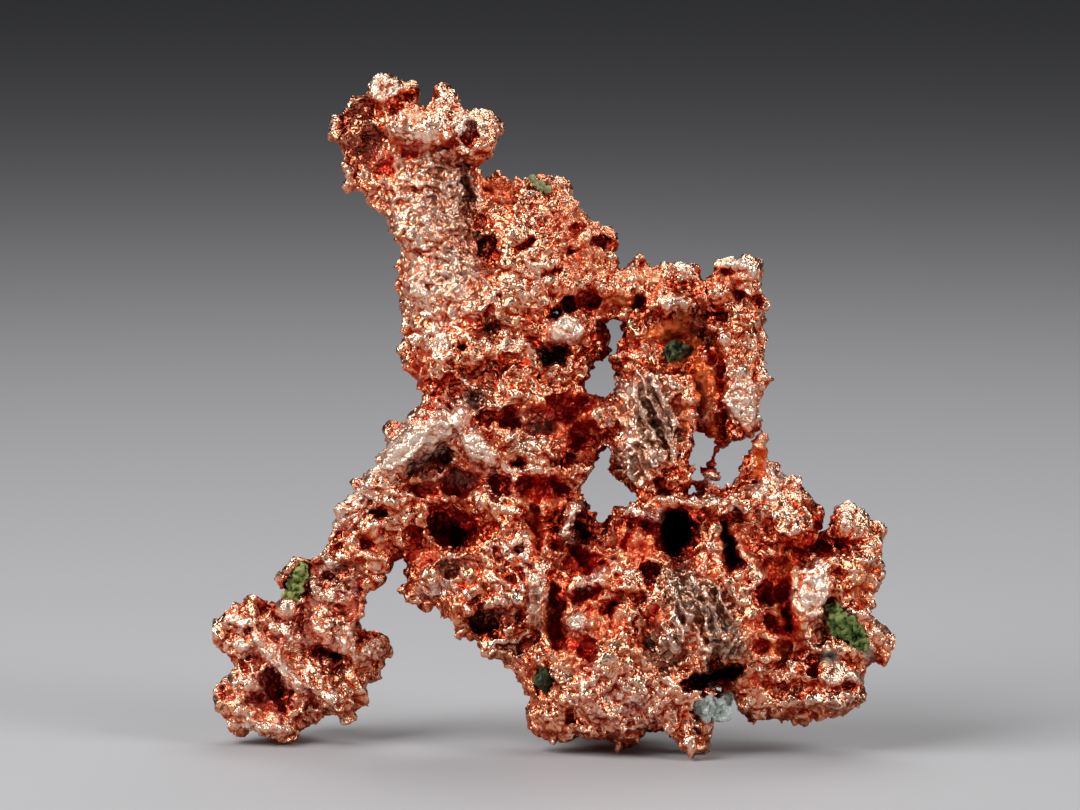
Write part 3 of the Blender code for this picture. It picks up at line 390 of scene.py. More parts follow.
# Granular crust: ovals of small beads.
BEADS = (
    ((32.5, 50.0), (6.0, 6.5), -20),
    ((26.5, 62.0), (2.6, 3.0), 0),
    ((23.2, 65.4), (1.4, 1.8), 0),
    ((40.5, 46.5), (5.0, 2.6), 0),
    ((53.0, 43.5), (2.6, 5.0), 0),
    ((38.6, 37.6), (2.2, 2.6), 0),
    ((39.0, 33.7), (1.4, 1.3), 0),
    ((21.6, 17.4), (2.6, 1.6), 0),
    ((41.5, 6.0), (5.0, 3.6), 0),
    ((58.5, 26.6), (2.0, 2.4), 0),
    ((64.5, 20.5), (2.6, 4.0), 0),
    ((66.2, 11.8), (1.6, 2.0), 0),
    ((62.0, 7.0), (3.2, 2.4), 0),
    ((11.6, 7.0), (2.4, 1.8), 0),
    ((20.5, 63.0), (3.6, 2.2), 0),
    ((30.8, 31.2), (1.6, 1.3), 0),
)

# Red films in the hollows, with their strength.
FLUSH = (
    ((36.6, 31.6), (1.7, 2.0), 0, 1.0),
    ((44.2, 22.6), (1.0, 2.6), 0, 0.8),
    ((47.0, 24.4), (2.2, 0.8), 0, 0.7),
    ((42.0, 20.8), (2.4, 1.6), 25, 0.8),
    ((51.4, 21.0), (1.3, 2.6), -12, 0.8),
    ((57.4, 13.4), (1.4, 2.8), -10, 0.9),
    ((54.6, 11.6), (2.0, 1.6), 20, 0.7),
    ((38.6, 14.0), (2.6, 1.6), -20, 0.7),
    ((36.2, 10.6), (1.8, 2.0), 0, 0.6),
    ((52.0, 7.6), (3.6, 1.2), 12, 0.6),
    ((24.6, 27.0), (2.4, 1.4), 5, 0.7),
    ((21.4, 26.4), (1.2, 1.2), 20, 0.7),
    ((30.6, 33.6), (2.0, 1.6), 0, 0.6),
    ((38.0, 45.0), (2.0, 1.6), 0, 0.5),
    ((37.0, 50.0), (2.4, 2.4), -20, 0.4),
    ((20.4, 38.4), (1.2, 2.4), 20, 0.5),
    ((5.6, 5.8), (2.4, 2.4), -28, 0.9),
    ((46.0, 41.9), (2.6, 1.3), -10, 1.0),
    ((48.9, 37.0), (1.3, 2.6), -10, 0.9),
    ((49.6, 31.6), (0.9, 3.6), -4, 0.8),
    ((54.3, 29.6), (0.9, 2.2), 10, 0.7),
    ((34.8, 34.0), (3.4, 2.0), -12, 0.8),
    ((32.8, 26.2), (2.8, 1.6), 8, 0.9),
    ((32.2, 22.4), (0.9, 2.6), -6, 1.0),
    ((37.2, 19.4), (3.2, 1.4), 20, 0.8),
    ((34.0, 13.6), (1.1, 3.6), -3, 0.9),
    ((37.6, 16.2), (2.2, 1.2), -20, 0.7),
    ((56.4, 17.0), (1.8, 3.4), 8, 0.9),
    ((55.4, 12.6), (2.6, 2.0), 8, 0.7),
    ((60.2, 20.6), (1.6, 0.9), 12, 0.7),
    ((43.6, 13.9), (1.3, 1.4), 0, 0.6),
    ((28.4, 56.2), (1.8, 1.2), 0, 0.6),
    ((35.6, 53.4), (2.0, 1.6), -30, 0.5),
    ((16.2, 59.4), (2.0, 1.8), 20, 0.45),
    ((19.8, 60.2), (1.5, 0.6), 0, 0.8),
    ((5.9, 11.5), (0.9, 1.4), -30, 0.6),
    ((6.4, 5.6), (1.5, 1.9), -28, 1.0),
    ((1.4, 6.0), (1.2, 1.2), 0, 0.5),
    ((10.2, 11.8), (1.4, 1.8), 0, 0.5),
    ((14.4, 15.4), (0.9, 2.2), 0, 0.7),
    ((15.6, 21.4), (2.2, 1.2), 0, 0.5),
    ((21.0, 19.8), (1.6, 1.0), 0, 0.6),
    ((51.6, 47.8), (1.6, 1.0), 0, 0.7),
    ((43.2, 47.6), (2.2, 1.0), 0, 0.4),
    ((23.0, 27.0), (2.2, 1.4), 0, 0.5),
    ((24.4, 22.6), (2.6, 1.6), 0, 0.5),
)

# Greyish brown tarnish, with its strength.
TARNISH = (
    ((25.0, 55.6), (1.0, 4.0), 0, 0.9),
    ((26.0, 50.2), (1.3, 2.6), 0, 0.7),
    ((14.6, 61.8), (2.0, 3.2), -12, 0.6),
    ((21.4, 53.4), (1.6, 1.2), 0, 0.4),
    ((22.6, 55.8), (2.6, 4.0), -14, 0.5),
    ((24.6, 49.4), (1.6, 3.6), 20, 0.6),
    ((14.5, 63.0), (1.6, 1.4), 0, 0.5),
    ((47.4, 44.2), (2.0, 1.0), 15, 0.5),
    ((48.6, 42.4), (1.3, 1.2), 0, 0.6),
    ((43.6, 33.6), (2.4, 3.8), -18, 0.9),
    ((42.4, 29.6), (2.0, 1.8), -15, 0.8),
    ((41.6, 27.8), (1.4, 1.0), 0, 0.6),
    ((26.0, 35.6), (1.6, 1.1), -15, 0.8),
    ((27.8, 42.4), (1.2, 1.2), 0, 0.7),
    ((21.6, 29.2), (2.0, 2.0), 30, 0.7),
    ((33.6, 39.6), (1.5, 1.0), 0, 0.9),
    ((24.6, 27.6), (1.8, 1.0), 0, 0.6),
    ((32.4, 33.0), (1.6, 1.2), 0, 0.7),
    ((30.8, 31.2), (1.5, 1.0), 0, 0.5),
    ((46.8, 16.2), (2.0, 3.4), -25, 1.0),
    ((49.6, 14.8), (1.8, 3.8), -25, 0.9),
    ((44.6, 11.0), (2.2, 2.2), 0, 0.9),
    ((51.0, 11.0), (2.2, 1.4), 10, 0.8),
    ((28.2, 14.0), (2.2, 1.8), 0, 0.5),
    ((23.8, 18.8), (1.4, 1.2), 0, 0.7),
    ((29.4, 10.4), (3.0, 1.0), -30, 0.6),
    ((32.6, 14.6), (1.2, 2.8), 0, 0.4),
    ((61.6, 5.4), (2.6, 1.0), 0, 0.6),
    ((60.0, 12.0), (1.2, 1.6), 0, 0.5),
    ((13.0, 17.8), (1.6, 1.2), -20, 0.6),
    ((35.4, 22.0), (0.8, 1.2), 10, 0.7),
    ((12.2, 12.6), (1.4, 1.2), 0, 0.4),
)

# Bright orange films, with their strength.
ORANGE = (
    ((45.0, 42.2), (2.0, 0.9), -8, 1.0),
    ((46.6, 43.4), (0.8, 0.6), -20, 0.9),
    ((47.9, 41.2), (0.9, 0.6), -20, 0.8),
    ((46.6, 39.4), (1.6, 0.5), -25, 0.8),
    ((48.8, 36.6), (1.1, 3.0), -6, 0.8),
    ((49.8, 32.6), (0.6, 1.8), 0, 0.5),
    ((46.8, 33.6), (0.7, 1.4), 0, 0.5),
    ((54.2, 29.2), (0.6, 1.6), 12, 0.6),
    ((27.6, 56.8), (1.0, 0.6), 0, 0.6),
    ((20.0, 63.6), (1.2, 0.5), 20, 0.4),
    ((32.0, 22.8), (0.45, 2.0), -6, 0.7),
    ((15.0, 21.8), (0.9, 0.6), 0, 0.5),
    ((33.2, 14.4), (0.4, 1.6), 0, 0.5),
    ((56.6, 19.2), (0.8, 1.2), 10, 0.6),
    ((56.0, 10.6), (1.2, 0.8), 20, 0.5),
    ((64.6, 17.0), (1.4, 1.6), 0, 0.3),
    ((40.6, 45.6), (1.6, 0.6), 0, 0.4),
)

# Grey-green films, with their strength.
VERDIGRIS = (
    ((61.3, 10.0), (0.9, 0.9), 0, 0.8),
    ((64.9, 10.4), (1.3, 0.5), 60, 0.8),
    ((49.4, 7.9), (1.6, 0.3), 75, 0.5),
    ((54.3, 26.4), (1.0, 0.8), 0, 0.5),
)

# Painted highlights: patches painted pale where the metal catches the key light broadly, with their
# strength.
PAINTED_HIGHLIGHTS = (
    ((8.0, 10.0), (8.0, 6.5), 0, 0.3),
    ((22.6, 47.0), (3.4, 4.0), -8, 0.3),
    ((20.4, 31.6), (2.0, 5.8), 57, 1.0),
    ((26.3, 30.6), (1.1, 2.6), -38, 1.0),
    ((22.2, 41.2), (1.8, 1.3), 20, 0.8),
    ((34.9, 42.3), (1.7, 1.2), -10, 0.9),
    ((17.2, 66.2), (1.3, 1.1), 30, 0.8),
    ((24.8, 62.8), (1.8, 1.0), -20, 0.7),
    ((20.6, 61.6), (1.6, 1.0), 0, 0.5),
    ((37.6, 17.6), (1.6, 0.5), -35, 0.9),
    ((36.3, 13.5), (1.1, 0.9), -30, 1.0),
    ((42.6, 24.2), (2.2, 0.5), 12, 0.8),
    ((59.2, 16.8), (1.5, 2.2), 10, 1.0),
    ((50.2, 27.4), (1.6, 0.8), 0, 0.7),
    ((51.4, 25.2), (1.0, 0.9), 0, 0.7),
    ((22.4, 16.6), (1.8, 0.8), -15, 0.8),
    ((31.6, 18.0), (2.4, 0.5), 60, 0.7),
    ((30.2, 20.8), (1.4, 1.2), 20, 0.5),
    ((35.8, 24.2), (0.5, 1.4), 38, 0.9),
    ((52.9, 34.4), (1.3, 1.6), 0, 0.6),
    ((41.0, 36.6), (1.6, 0.8), 30, 0.6),
    ((41.0, 5.6), (3.8, 2.6), 0, 0.5),
    ((37.6, 8.0), (1.6, 1.2), 0, 0.5),
    ((56.0, 26.4), (2.4, 1.6), -30, 0.5),
    ((63.6, 24.0), (1.4, 1.0), 0, 0.5),
    ((66.0, 13.0), (1.0, 0.8), 0, 0.5),
    ((63.4, 7.8), (1.6, 0.5), 0, 0.6),
    ((11.0, 17.6), (0.9, 2.8), 30, 0.8),
    ((12.6, 15.8), (1.6, 0.7), -20, 0.7),
    ((8.0, 12.2), (1.6, 1.2), 0, 0.6),
    ((6.8, 8.6), (0.7, 3.2), -39, 0.6),
    ((3.2, 7.4), (1.3, 0.6), 0, 0.8),
    ((11.6, 6.6), (1.3, 0.9), 0, 0.7),
    ((4.8, 3.0), (3.4, 0.4), 3, 0.8),
    ((13.4, 24.6), (0.9, 3.6), 42, 0.7),
    ((40.6, 31.0), (0.6, 1.6), 40, 0.5),
    ((52.6, 48.6), (1.8, 0.6), 25, 0.7),
    ((46.8, 48.0), (1.4, 0.7), 0, 0.6),
)

# Grains of mineral: dark, middle and bright colours, roughness and how much light passes through.
GRAINS = {
    "malachite_right": ((0.006, 0.013, 0.002), (0.065, 0.110, 0.016), (0.24, 0.30, 0.085), 0.36, 0.0),
    "malachite_leg": ((0.012, 0.018, 0.002), (0.110, 0.145, 0.014), (0.34, 0.37, 0.12), 0.34, 0.0),
    "malachite_top": ((0.06, 0.07, 0.02), (0.18, 0.21, 0.075), (0.36, 0.39, 0.20), 0.42, 0.0),
    "malachite_front": ((0.005, 0.006, 0.0015), (0.017, 0.020, 0.006), (0.07, 0.08, 0.03), 0.34, 0.0),
    "malachite_pocket": ((0.002, 0.003, 0.0008), (0.012, 0.018, 0.004), (0.09, 0.12, 0.045), 0.26, 0.0),
    "calcite_grain": ((0.40, 0.50, 0.45), (0.60, 0.70, 0.64), (0.85, 0.92, 0.87), 0.26, 0.45),
}

# The metal's colours with painted light, from sheltered and low to open and high. Painted shade and painted
# copper-on-copper reflection turn sheltered, creased and down-facing places dark red, and a painted
# highlight turns open crests pale.
METAL_PAINTED_LIGHT_TONES = (
    (0.02, (0.20, 0.008, 0.003)),
    (0.24, (0.40, 0.026, 0.008)),
    (0.42, (0.62, 0.10, 0.035)),
    (0.60, (0.86, 0.30, 0.15)),
    (0.76, (0.95, 0.46, 0.29)),
    (1.0, (0.98, 0.66, 0.51)),
)

# The red oxide film's colours, in the same order. The film is real; its darkening in sheltered places is
# painted shade.
OXIDE_PAINTED_SHADE_TONES = (
    (0.0, (0.48, 0.008, 0.003)),
    (0.3, (0.62, 0.022, 0.006)),
    (0.6, (0.80, 0.12, 0.03)),
    (0.9, (0.95, 0.34, 0.13)),
)
ORANGE_FILM = (0.88, 0.17, 0.03)
BROWN_TARNISH = (0.20, 0.105, 0.068)
GREY_GREEN_FILM = (0.22, 0.25, 0.20)
# Painted highlight: the pale colour laid where the highlight patches lie.
PAINTED_HIGHLIGHT_TONE = (0.99, 0.75, 0.60)
# Painted shade: near black laid into the deepest hollows.
PAINTED_VOID_SHADE = (0.012, 0.002, 0.001)
COPPER_TINT = (1.0, 0.8, 0.68, 1)

# Area lights: place, width and height in metres, and power in watts.
LIGHTS = {
    "key_left": ((-0.34, -0.20, 0.36), (0.40, 0.36), 3.2),
    "key_right": ((0.38, -0.20, 0.26), (0.20, 0.34), 1.3),
    "top_back": ((0.05, 0.22, 0.42), (0.34, 0.24), 1.0),
}
LIGHT_AIM = (0, 0, 0.035)
FLOOR_SIZE = 3.0
FLOOR_GAP = 0.0002
FLOOR_GREY = (0.42, 0.42, 0.43, 1)
ROOM_GREY = (0.022, 0.023, 0.026, 1)

# The camera: its distance, the width that its frame covers there, and the frame's middle.
CAMERA_DISTANCE = 0.8
FRAME_WIDTH = 0.108
FRAME_MIDDLE = (-0.0013, 0.0338)
SENSOR_WIDTH = 36.0


def linked(name, mesh):
    """A new object in the scene."""
    made = bpy.data.objects.new(name, mesh)
    bpy.context.scene.collection.objects.link(made)
    return made


def settle(piece):
    """Applies a piece's modifiers."""
    bpy.context.view_layer.update()
    seen = piece.evaluated_get(bpy.context.evaluated_depsgraph_get())
    mesh = bpy.data.meshes.new_from_object(seen)
    piece.modifiers.clear()
    piece.data = mesh


def remesh(piece, voxel, soften):
    """Rebuilds a piece from voxels and smooths it a little."""
    fuse = piece.modifiers.new("fuse", "REMESH")
    fuse.mode = "VOXEL"
    fuse.voxel_size = voxel
    smooth = piece.modifiers.new("soften", "SMOOTH")
    smooth.factor = 0.5
    smooth.iterations = soften
    settle(piece)


def vectors(mesh, kind):
    """The places or normals of a mesh's points, one row each."""
    flat = np.empty(3 * len(mesh.vertices), np.float32)
    mesh.vertices.foreach_get(kind, flat)
    return flat.reshape(-1, 3)


def place(mesh, points):
    """Moves a mesh's points."""
    mesh.vertices.foreach_set("co", points.astype(np.float32).ravel())
    mesh.update()


def layout_of(points):
    """World points as (across, up, deep) in millimetres, face on."""
    spots = points / MM - np.array(SET_DOWN, np.float32)
    across = spots[:, 0] + WIDTH / 2
    up = spots[:, 1] * math.sin(LEAN) + spots[:, 2] * math.cos(LEAN)
    deep = spots[:, 1] * math.cos(LEAN) - spots[:, 2] * math.sin(LEAN)
    return across, up, deep


def facing_of(outward):
    """1 where the surface looks at the viewer, 0 where it looks aside or away."""
    return np.clip(outward[:, 2] * math.sin(LEAN) - outward[:, 1] * math.cos(LEAN), 0, 1)


def oval(across, up, centre, half, turn, edge=0.35):
    """1 inside a turned ellipse, falling to 0 just past its rim."""
    angle = math.radians(turn)
    right = across - centre[0]
    rise = up - centre[1]
    along = (right * math.sin(angle) + rise * math.cos(angle)) / half[1]
    aside = (right * math.cos(angle) - rise * math.sin(angle)) / half[0]
    reach = np.sqrt(along * along + aside * aside)
    return np.clip((1 + edge - reach) / (2 * edge), 0, 1)


def crest(across, up, points, half):
    """1 along a line through the points, falling evenly to 0 at half its width."""
    nearest = np.full(len(across), 99.0, np.float32)
    for (x0, y0), (x1, y1) in zip(points, points[1:]):
        run = (x1 - x0, y1 - y0)
        share = ((across - x0) * run[0] + (up - y0) * run[1]) / (run[0] ** 2 + run[1] ** 2)
        share = np.clip(share, 0, 1)
        nearest = np.minimum(nearest, np.hypot(across - x0 - share * run[0], up - y0 - share * run[1]))
    return np.clip(1 - nearest / half, 0, 1)


def dice(corner, seed):
    """Three repeatable numbers from 0 to 1 for each whole-number corner."""
    mixed = corner.astype(np.uint32) * np.array((73856093, 19349663, 83492791), np.uint32)
    value = mixed[:, 0] ^ mixed[:, 1] ^ mixed[:, 2] ^ np.uint32(seed * 2654435 + 1013)
    value = (value ^ (value >> np.uint32(15))) * np.uint32(2246822519)
    value = (value ^ (value >> np.uint32(13))) * np.uint32(3266489917)
    value = value ^ (value >> np.uint32(16))
    thirds = [(value >> np.uint32(shift)) & np.uint32(1023) for shift in (0, 10, 20)]
    return np.stack(thirds, 1).astype(np.float32) / 1023


def around(reach):
    """Every step from a cell to the cells around it."""
    return [(x, y, z) for x in reach for y in reach for z in reach]


def cells(spots, size, seed):
    """Each spot's cell of the given size, and its place in that cell."""
    scaled = (spots / size).astype(np.float32) + np.float32(500.37 + seed)
    cell = np.floor(scaled)
    return cell.astype(np.int64), scaled - cell


def soft_noise(spots, size, seed):
    """Smooth noise from about -1 to 1, with features of the given size in millimetres."""
    cell, part = cells(spots, size, seed)
    ease = part * part * part * (part * (part * 6 - 15) + 10)
    total = np.zeros(len(spots), np.float32)
    for step in around((0, 1)):
        slope = dice(cell + np.array(step), seed) * 2 - 1
        dot = ((part - np.array(step, np.float32)) * slope).sum(1)
        total += dot * np.where(np.array(step, bool), ease, 1 - ease).prod(1)
    return total * 1.8


def facets(spots, size, seed, tilt, step, blend=0.18):
    """Flat facets, each with its own tilt and height, meeting in sharp edges."""
    cell, part = cells(spots, size, seed)
    nearest = np.full(len(spots), 9.0, np.float32)
    second = np.full(len(spots), 9.0, np.float32)
    here = np.zeros(len(spots), np.float32)
    there = np.zeros(len(spots), np.float32)
    for neighbour in around((-1, 0, 1)):
        corner = cell + np.array(neighbour)
        away = part - np.array(neighbour, np.float32) - dice(corner, seed)
        reach = np.sqrt((away * away).sum(1))
        lean = dice(corner, seed + 1)
        value = tilt * (away * (2 * lean - 1)).sum(1) + step * (lean[:, 0] + lean[:, 1] - 1)
        closer = reach < nearest
        there = np.where(closer, here, np.where(reach < second, value, there))
        second = np.where(closer, nearest, np.minimum(second, reach))
        here = np.where(closer, value, here)
        nearest = np.where(closer, reach, nearest)
    share = np.clip(0.5 + (second - nearest) / blend * 0.5, 0.5, 1)
    return share * here + (1 - share) * there


def beads(spots, size, seed):
    """Round beads with sharp seams between them, from -0.5 to about 0.5."""
    cell, part = cells(spots, size, seed)
    nearest = np.full(len(spots), 9.0, np.float32)
    for neighbour in around((-1, 0, 1)):
        away = part - np.array(neighbour, np.float32) - dice(cell + np.array(neighbour), seed)
        nearest = np.minimum(nearest, (away * away).sum(1))
    return 0.5 - nearest * 1.3


def wandered(spots, across, up):
    """Across and up, moved about a little so that no edge is a clean curve."""
    moved = []
    for value, seed in ((across, 31), (up, 32)):
        value = value + COARSE_WANDER[1] * soft_noise(spots, COARSE_WANDER[0], seed)
        moved.append(value + FINE_WANDER[1] * soft_noise(spots, FINE_WANDER[0], seed + 2))
    return moved


def shape_forms(mesh):
    """Raises the blocks and crests towards the viewer and sinks the hollows."""
    points = vectors(mesh, "co")
    spots = points / MM
    across, up, _ = layout_of(points)
    facing = np.clip(facing_of(vectors(mesh, "normal")) * 2.2, 0, 1)
    across, up = wandered(spots, across, up)
    forward = np.zeros(len(points), np.float32)
    for centre, half, turn, height in BLOCKS:
        forward = np.maximum(forward, height * oval(across, up, centre, half, turn, 0.2))
    for line, half, height in CRESTS:
        forward = np.maximum(forward, height * crest(across, up, line, 2 * half))
    sink = np.zeros(len(points), np.float32)
    for centre, half, turn, depth in HOLLOWS:
        edge = VOID_EDGE if depth >= VOID_DEPTH else 2 * VOID_EDGE
        sink = np.maximum(sink, depth * oval(across, up, centre, half, turn, edge))
    towards_viewer = np.array((0, -math.cos(LEAN), math.sin(LEAN)), np.float32)
    push = (forward - sink) * facing * MM
    place(mesh, points + towards_viewer * push[:, None])


def covered(table, across, up):
    """1 inside any oval of a table."""
    total = np.zeros(len(across), np.float32)
    for centre, half, turn in table:
        total = np.maximum(total, oval(across, up, centre, half, turn))
    return total


def crumple(mesh, low, high):
    """Gives the skin its hackle: facets, beads, foil wrinkles and pleats."""
    points = vectors(mesh, "co")
    outward = vectors(mesh, "normal")
    spots = points / MM
    facing = facing_of(outward)
    front = np.clip(facing * 3, 0, 1)
    across, up, deep = layout_of(points)
    sunk = SINKING * beyond(across, up, low, high)
    across, up = wandered(spots, across, up)
    foil = covered(FOIL, across, up) * front
    beaded = covered(BEADS, across, up) * np.clip(1 - deep / BEADS_FADE, 0.35, 1)
    loose_beads = np.clip(soft_noise(spots, BEAD_FIELDS, seed=71) * 2 - 0.3, 0, 1)
    beaded = np.maximum(beaded, loose_beads) * (1 - foil)
    for line, half, _ in CRESTS:
        foil = np.maximum(foil, crest(across, up, line, 3 * half) * front)
    warp = np.stack([soft_noise(spots, WARP[0], 60 + axis) for axis in range(3)], 1)
    bent = spots + WARP[1] * warp
    push = SWELL[1] * soft_noise(spots, SWELL[0], seed=4) * (1 - 0.7 * foil)
    plates = PLATES[1] * facets(bent, PLATES[0], seed=3, tilt=0.9, step=0.5)
    plates += SPLINTERS[1] * facets(bent, SPLINTERS[0], seed=13, tilt=1.1, step=0.4)
    grains = COARSE_BEADS[1] * beads(bent, COARSE_BEADS[0], seed=23)
    grains += FINE_BEADS[1] * beads(bent, FINE_BEADS[0], seed=25)
    stretched = bent * WRINKLE_STRETCH
    wrinkles = WRINKLES[1] * facets(stretched, WRINKLES[0], seed=43, tilt=1.2, step=0.35, blend=0.08)
    push += (1 - foil) * ((1 - beaded) * plates + beaded * (grains + 0.3 * plates))
    push += foil * wrinkles
    push += FINE_FACETS[1] * facets(bent, FINE_FACETS[0], seed=45, tilt=1.3, step=0.4)
    for centre, half, turn, inset in OPENINGS:
        push -= inset * oval(across, up, centre, half, turn)
    for centre, half, turn, run, spacing, height in PLEATS:
        angle = math.radians(run)
        aside = across * math.cos(angle) - up * math.sin(angle)
        wave = aside / spacing + PLEAT_WANDER[1] * soft_noise(spots, PLEAT_WANDER[0], seed=11)
        ridge = 1 - 2 * np.abs(wave - np.floor(wave) - 0.5)
        push += oval(across, up, centre, half, turn) * facing * height * (1.4 * ridge - 0.8)
    pushed = inside_box(points + outward * (push * MM)[:, None])
    place(mesh, pushed - outward * (sunk * MM)[:, None])


def inside_box(points):
    """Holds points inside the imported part's box, easing them in before its front and back."""
    low, high = (np.array(corner) for corner in cad_box)
    for side, limit in ((-1, low[1]), (1, high[1])):
        past = side * (points[:, 1] - limit) + EASE
        eased = limit + side * EASE * (1 - np.exp(-np.maximum(past, 0) / EASE)) - side * EASE
        points[:, 1] = np.where(past > 0, eased, points[:, 1])
    return np.clip(points, low, high)


def ray_fan(count, seed):
    """Directions spread at random over a ball."""
    rolls = random.Random(seed)
    rays = []
    while len(rays) < count:
        ray = Vector([rolls.uniform(-1, 1) for _ in range(3)])
        if 0.1 < ray.length < 1:
            rays.append(ray.normalized())
    return rays


def store_openness(form, pieces):
    """The share of rays that leave the mass, found on the thinned form's nearest face."""
    thin = form.modifiers.new("thin", "DECIMATE")
    thin.ratio = THINNED_SHARE
    settle(form)
    bpy.context.view_layer.update()
    tree = BVHTree.FromObject(form, bpy.context.evaluated_depsgraph_get())
    rays = ray_fan(RAYS, seed=7)
    shares = []
    for face in form.data.polygons:
        start = face.center + face.normal * RAY_START
        clear = 0
        for ray in rays:
            course = (face.normal * 1.05 + ray).normalized()
            if tree.ray_cast(start, course, RAY_REACH)[0] is None:
                clear += 1
        shares.append(clear / RAYS)
    shares = np.array(shares, np.float32)
    for piece in pieces:
        found = [tree.find_nearest(point)[2] for point in map(Vector, vectors(piece.data, "co"))]
        store(piece.data, "open", shares[np.array(found)])


def crest_height(piece):
    """How far each point stands above the smoothed skin, in millimetres."""
    copy = linked("smoothed", piece.data.copy())
    smooth = copy.modifiers.new("smooth", "SMOOTH")
    smooth.factor = 0.5
    smooth.iterations = CREST_SMOOTHING
    settle(copy)
    gap = vectors(piece.data, "co") - vectors(copy.data, "co")
    bpy.data.objects.remove(copy)
    return (gap * vectors(piece.data, "normal")).sum(1) / MM


def store_crests(piece):
    """-1 in the skin's creases, 1 on its crests."""
    store(piece.data, "crest", np.clip(crest_height(piece) / CREST_HEIGHT, -1, 1))


def store(mesh, name, values):
    """Keeps one number for each point, for the materials to read."""
    layer = mesh.attributes.new(name, "FLOAT", "POINT")
    layer.data.foreach_set("value", np.asarray(values, np.float32))


def store_films(mesh):
    """Where the metal stands proud or lies sunk, for painted highlight and shade. Also where it is smooth
    foil, where it carries a film of colour, where it takes a painted highlight, and where it is painted
    black as shade in a deep void.
    """
    points = vectors(mesh, "co")
    across, up, deep = layout_of(points)
    across, up = wandered(points / MM, across, up)
    front = np.clip(1.6 - deep / FILM_FADE, 0, 1)
    films = {"flush": FLUSH, "orange": ORANGE, "tarnish": TARNISH, "verdigris": VERDIGRIS, "bright": PAINTED_HIGHLIGHTS}
    for name, table in films.items():
        film = np.zeros(len(points), np.float32)
        for centre, half, turn, strength in table:
            film = np.maximum(film, strength * oval(across, up, centre, half, turn, 0.4))
        store(mesh, name, film * front)
    store(mesh, "foil", covered(FOIL, across, up) * front)
    proud = np.zeros(len(points), np.float32)
    for centre, half, turn, height in BLOCKS:
        proud = np.maximum(proud, min(height, 1) * oval(across, up, centre, half, turn))
    for line, half, _ in CRESTS:
        proud = np.maximum(proud, 1.2 * crest(across, up, line, 2 * half))
    sunk = np.zeros(len(points), np.float32)
    # The deepest hollows are marked for painted black shade.
    void_shade = np.zeros(len(points), np.float32)
    for centre, half, turn, depth in HOLLOWS:
        sunk = np.maximum(sunk, min(depth / 1.8, 1) * oval(across, up, centre, half, turn))
        if depth >= VOID_DEPTH:
            void_shade = np.maximum(void_shade, oval(across, up, centre, half, turn, VOID_EDGE))
    # Proud places get painted highlight and sunk ones painted shade in the material.
    store(mesh, "relief", (proud - sunk) * front)
    store(mesh, "void_shade", void_shade * front)


def beyond(across, up, low, high):
    """How far each place lies outside a patch's rectangle, in millimetres."""
    return np.maximum.reduce([low[0] - across, across - high[0], low[1] - up, up - high[1], 0 * up])


def window_block(low, high):
    """A block over a patch's rectangle, reaching a little into its neighbours."""
    bpy.ops.mesh.primitive_cube_add(size=1)
    block = bpy.context.object
    middle = Vector(((low[0] + high[0] - WIDTH) / 2, 0, (low[1] + high[1]) / 2))
    lean = Euler((-LEAN, 0, 0))
    block.rotation_euler = lean
    block.location = (lean.to_matrix() @ middle + Vector(SET_DOWN)) * MM
    across = high[0] - low[0] + 2 * OVERLAP
    up = high[1] - low[1] + 2 * OVERLAP
    block.scale = (across * MM, BLOCK_DEPTH * MM, up * MM)
    return block


def keep_largest(mesh):
    """Drops the bits that a block's edge cuts off, since the next patch holds them."""
    shape = bmesh.new()
    shape.from_mesh(mesh)
    unseen = set(shape.verts)
    parts = []
    while unseen:
        part = [unseen.pop()]
        for vert in part:
            for edge in vert.link_edges:
                other = edge.other_vert(vert)
                if other in unseen:
                    unseen.remove(other)
                    part.append(other)
        parts.append(part)
    parts.sort(key=len)
    for part in parts[:-1]:
        bmesh.ops.delete(shape, geom=part, context="VERTS")
    shape.to_mesh(mesh)
    shape.free()


def make_patch(name, form, low, high):
    """One patch of the skin. Past its rectangle it sinks into the metal of the next patch."""
    piece = linked("copper_" + name, form.data.copy())
    block = window_block(low, high)
    keep = piece.modifiers.new("keep", "BOOLEAN")
    keep.operation = "INTERSECT"
    keep.solver = "MANIFOLD"
    keep.object = block
    settle(piece)
    keep_largest(piece.data)
    bpy.data.objects.remove(block)
    remesh(piece, FINE_VOXEL, SKIN_SOFTENING)
    crumple(piece.data, low, high)
    thin = piece.modifiers.new("thin", "DECIMATE")
    thin.ratio = min(TRIANGLE_SHARE, PATCH_LIMIT / (2 * len(piece.data.polygons)))
    settle(piece)
    store_crests(piece)
    # Painted shade: down-facing skin is marked so that the material darkens it.
    store(piece.data, "underside_shade", np.clip(-1.4 * vectors(piece.data, "normal")[:, 2], 0, 1))
    store_films(piece.data)
    piece.data.shade_smooth()
    return piece


def make_copper():
    """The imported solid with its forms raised, then crumpled patch by patch."""
    form = linked("form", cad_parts["nugget"].data.copy())
    remesh(form, FORM_VOXEL, FORM_SOFTENING)
    shape_forms(form.data)
    remesh(form, FORM_VOXEL, 1)
    pieces = [make_patch(name, form, low, high) for name, low, high in PATCHES]
    store_openness(form, pieces)
    bpy.data.objects.remove(form)
    return pieces


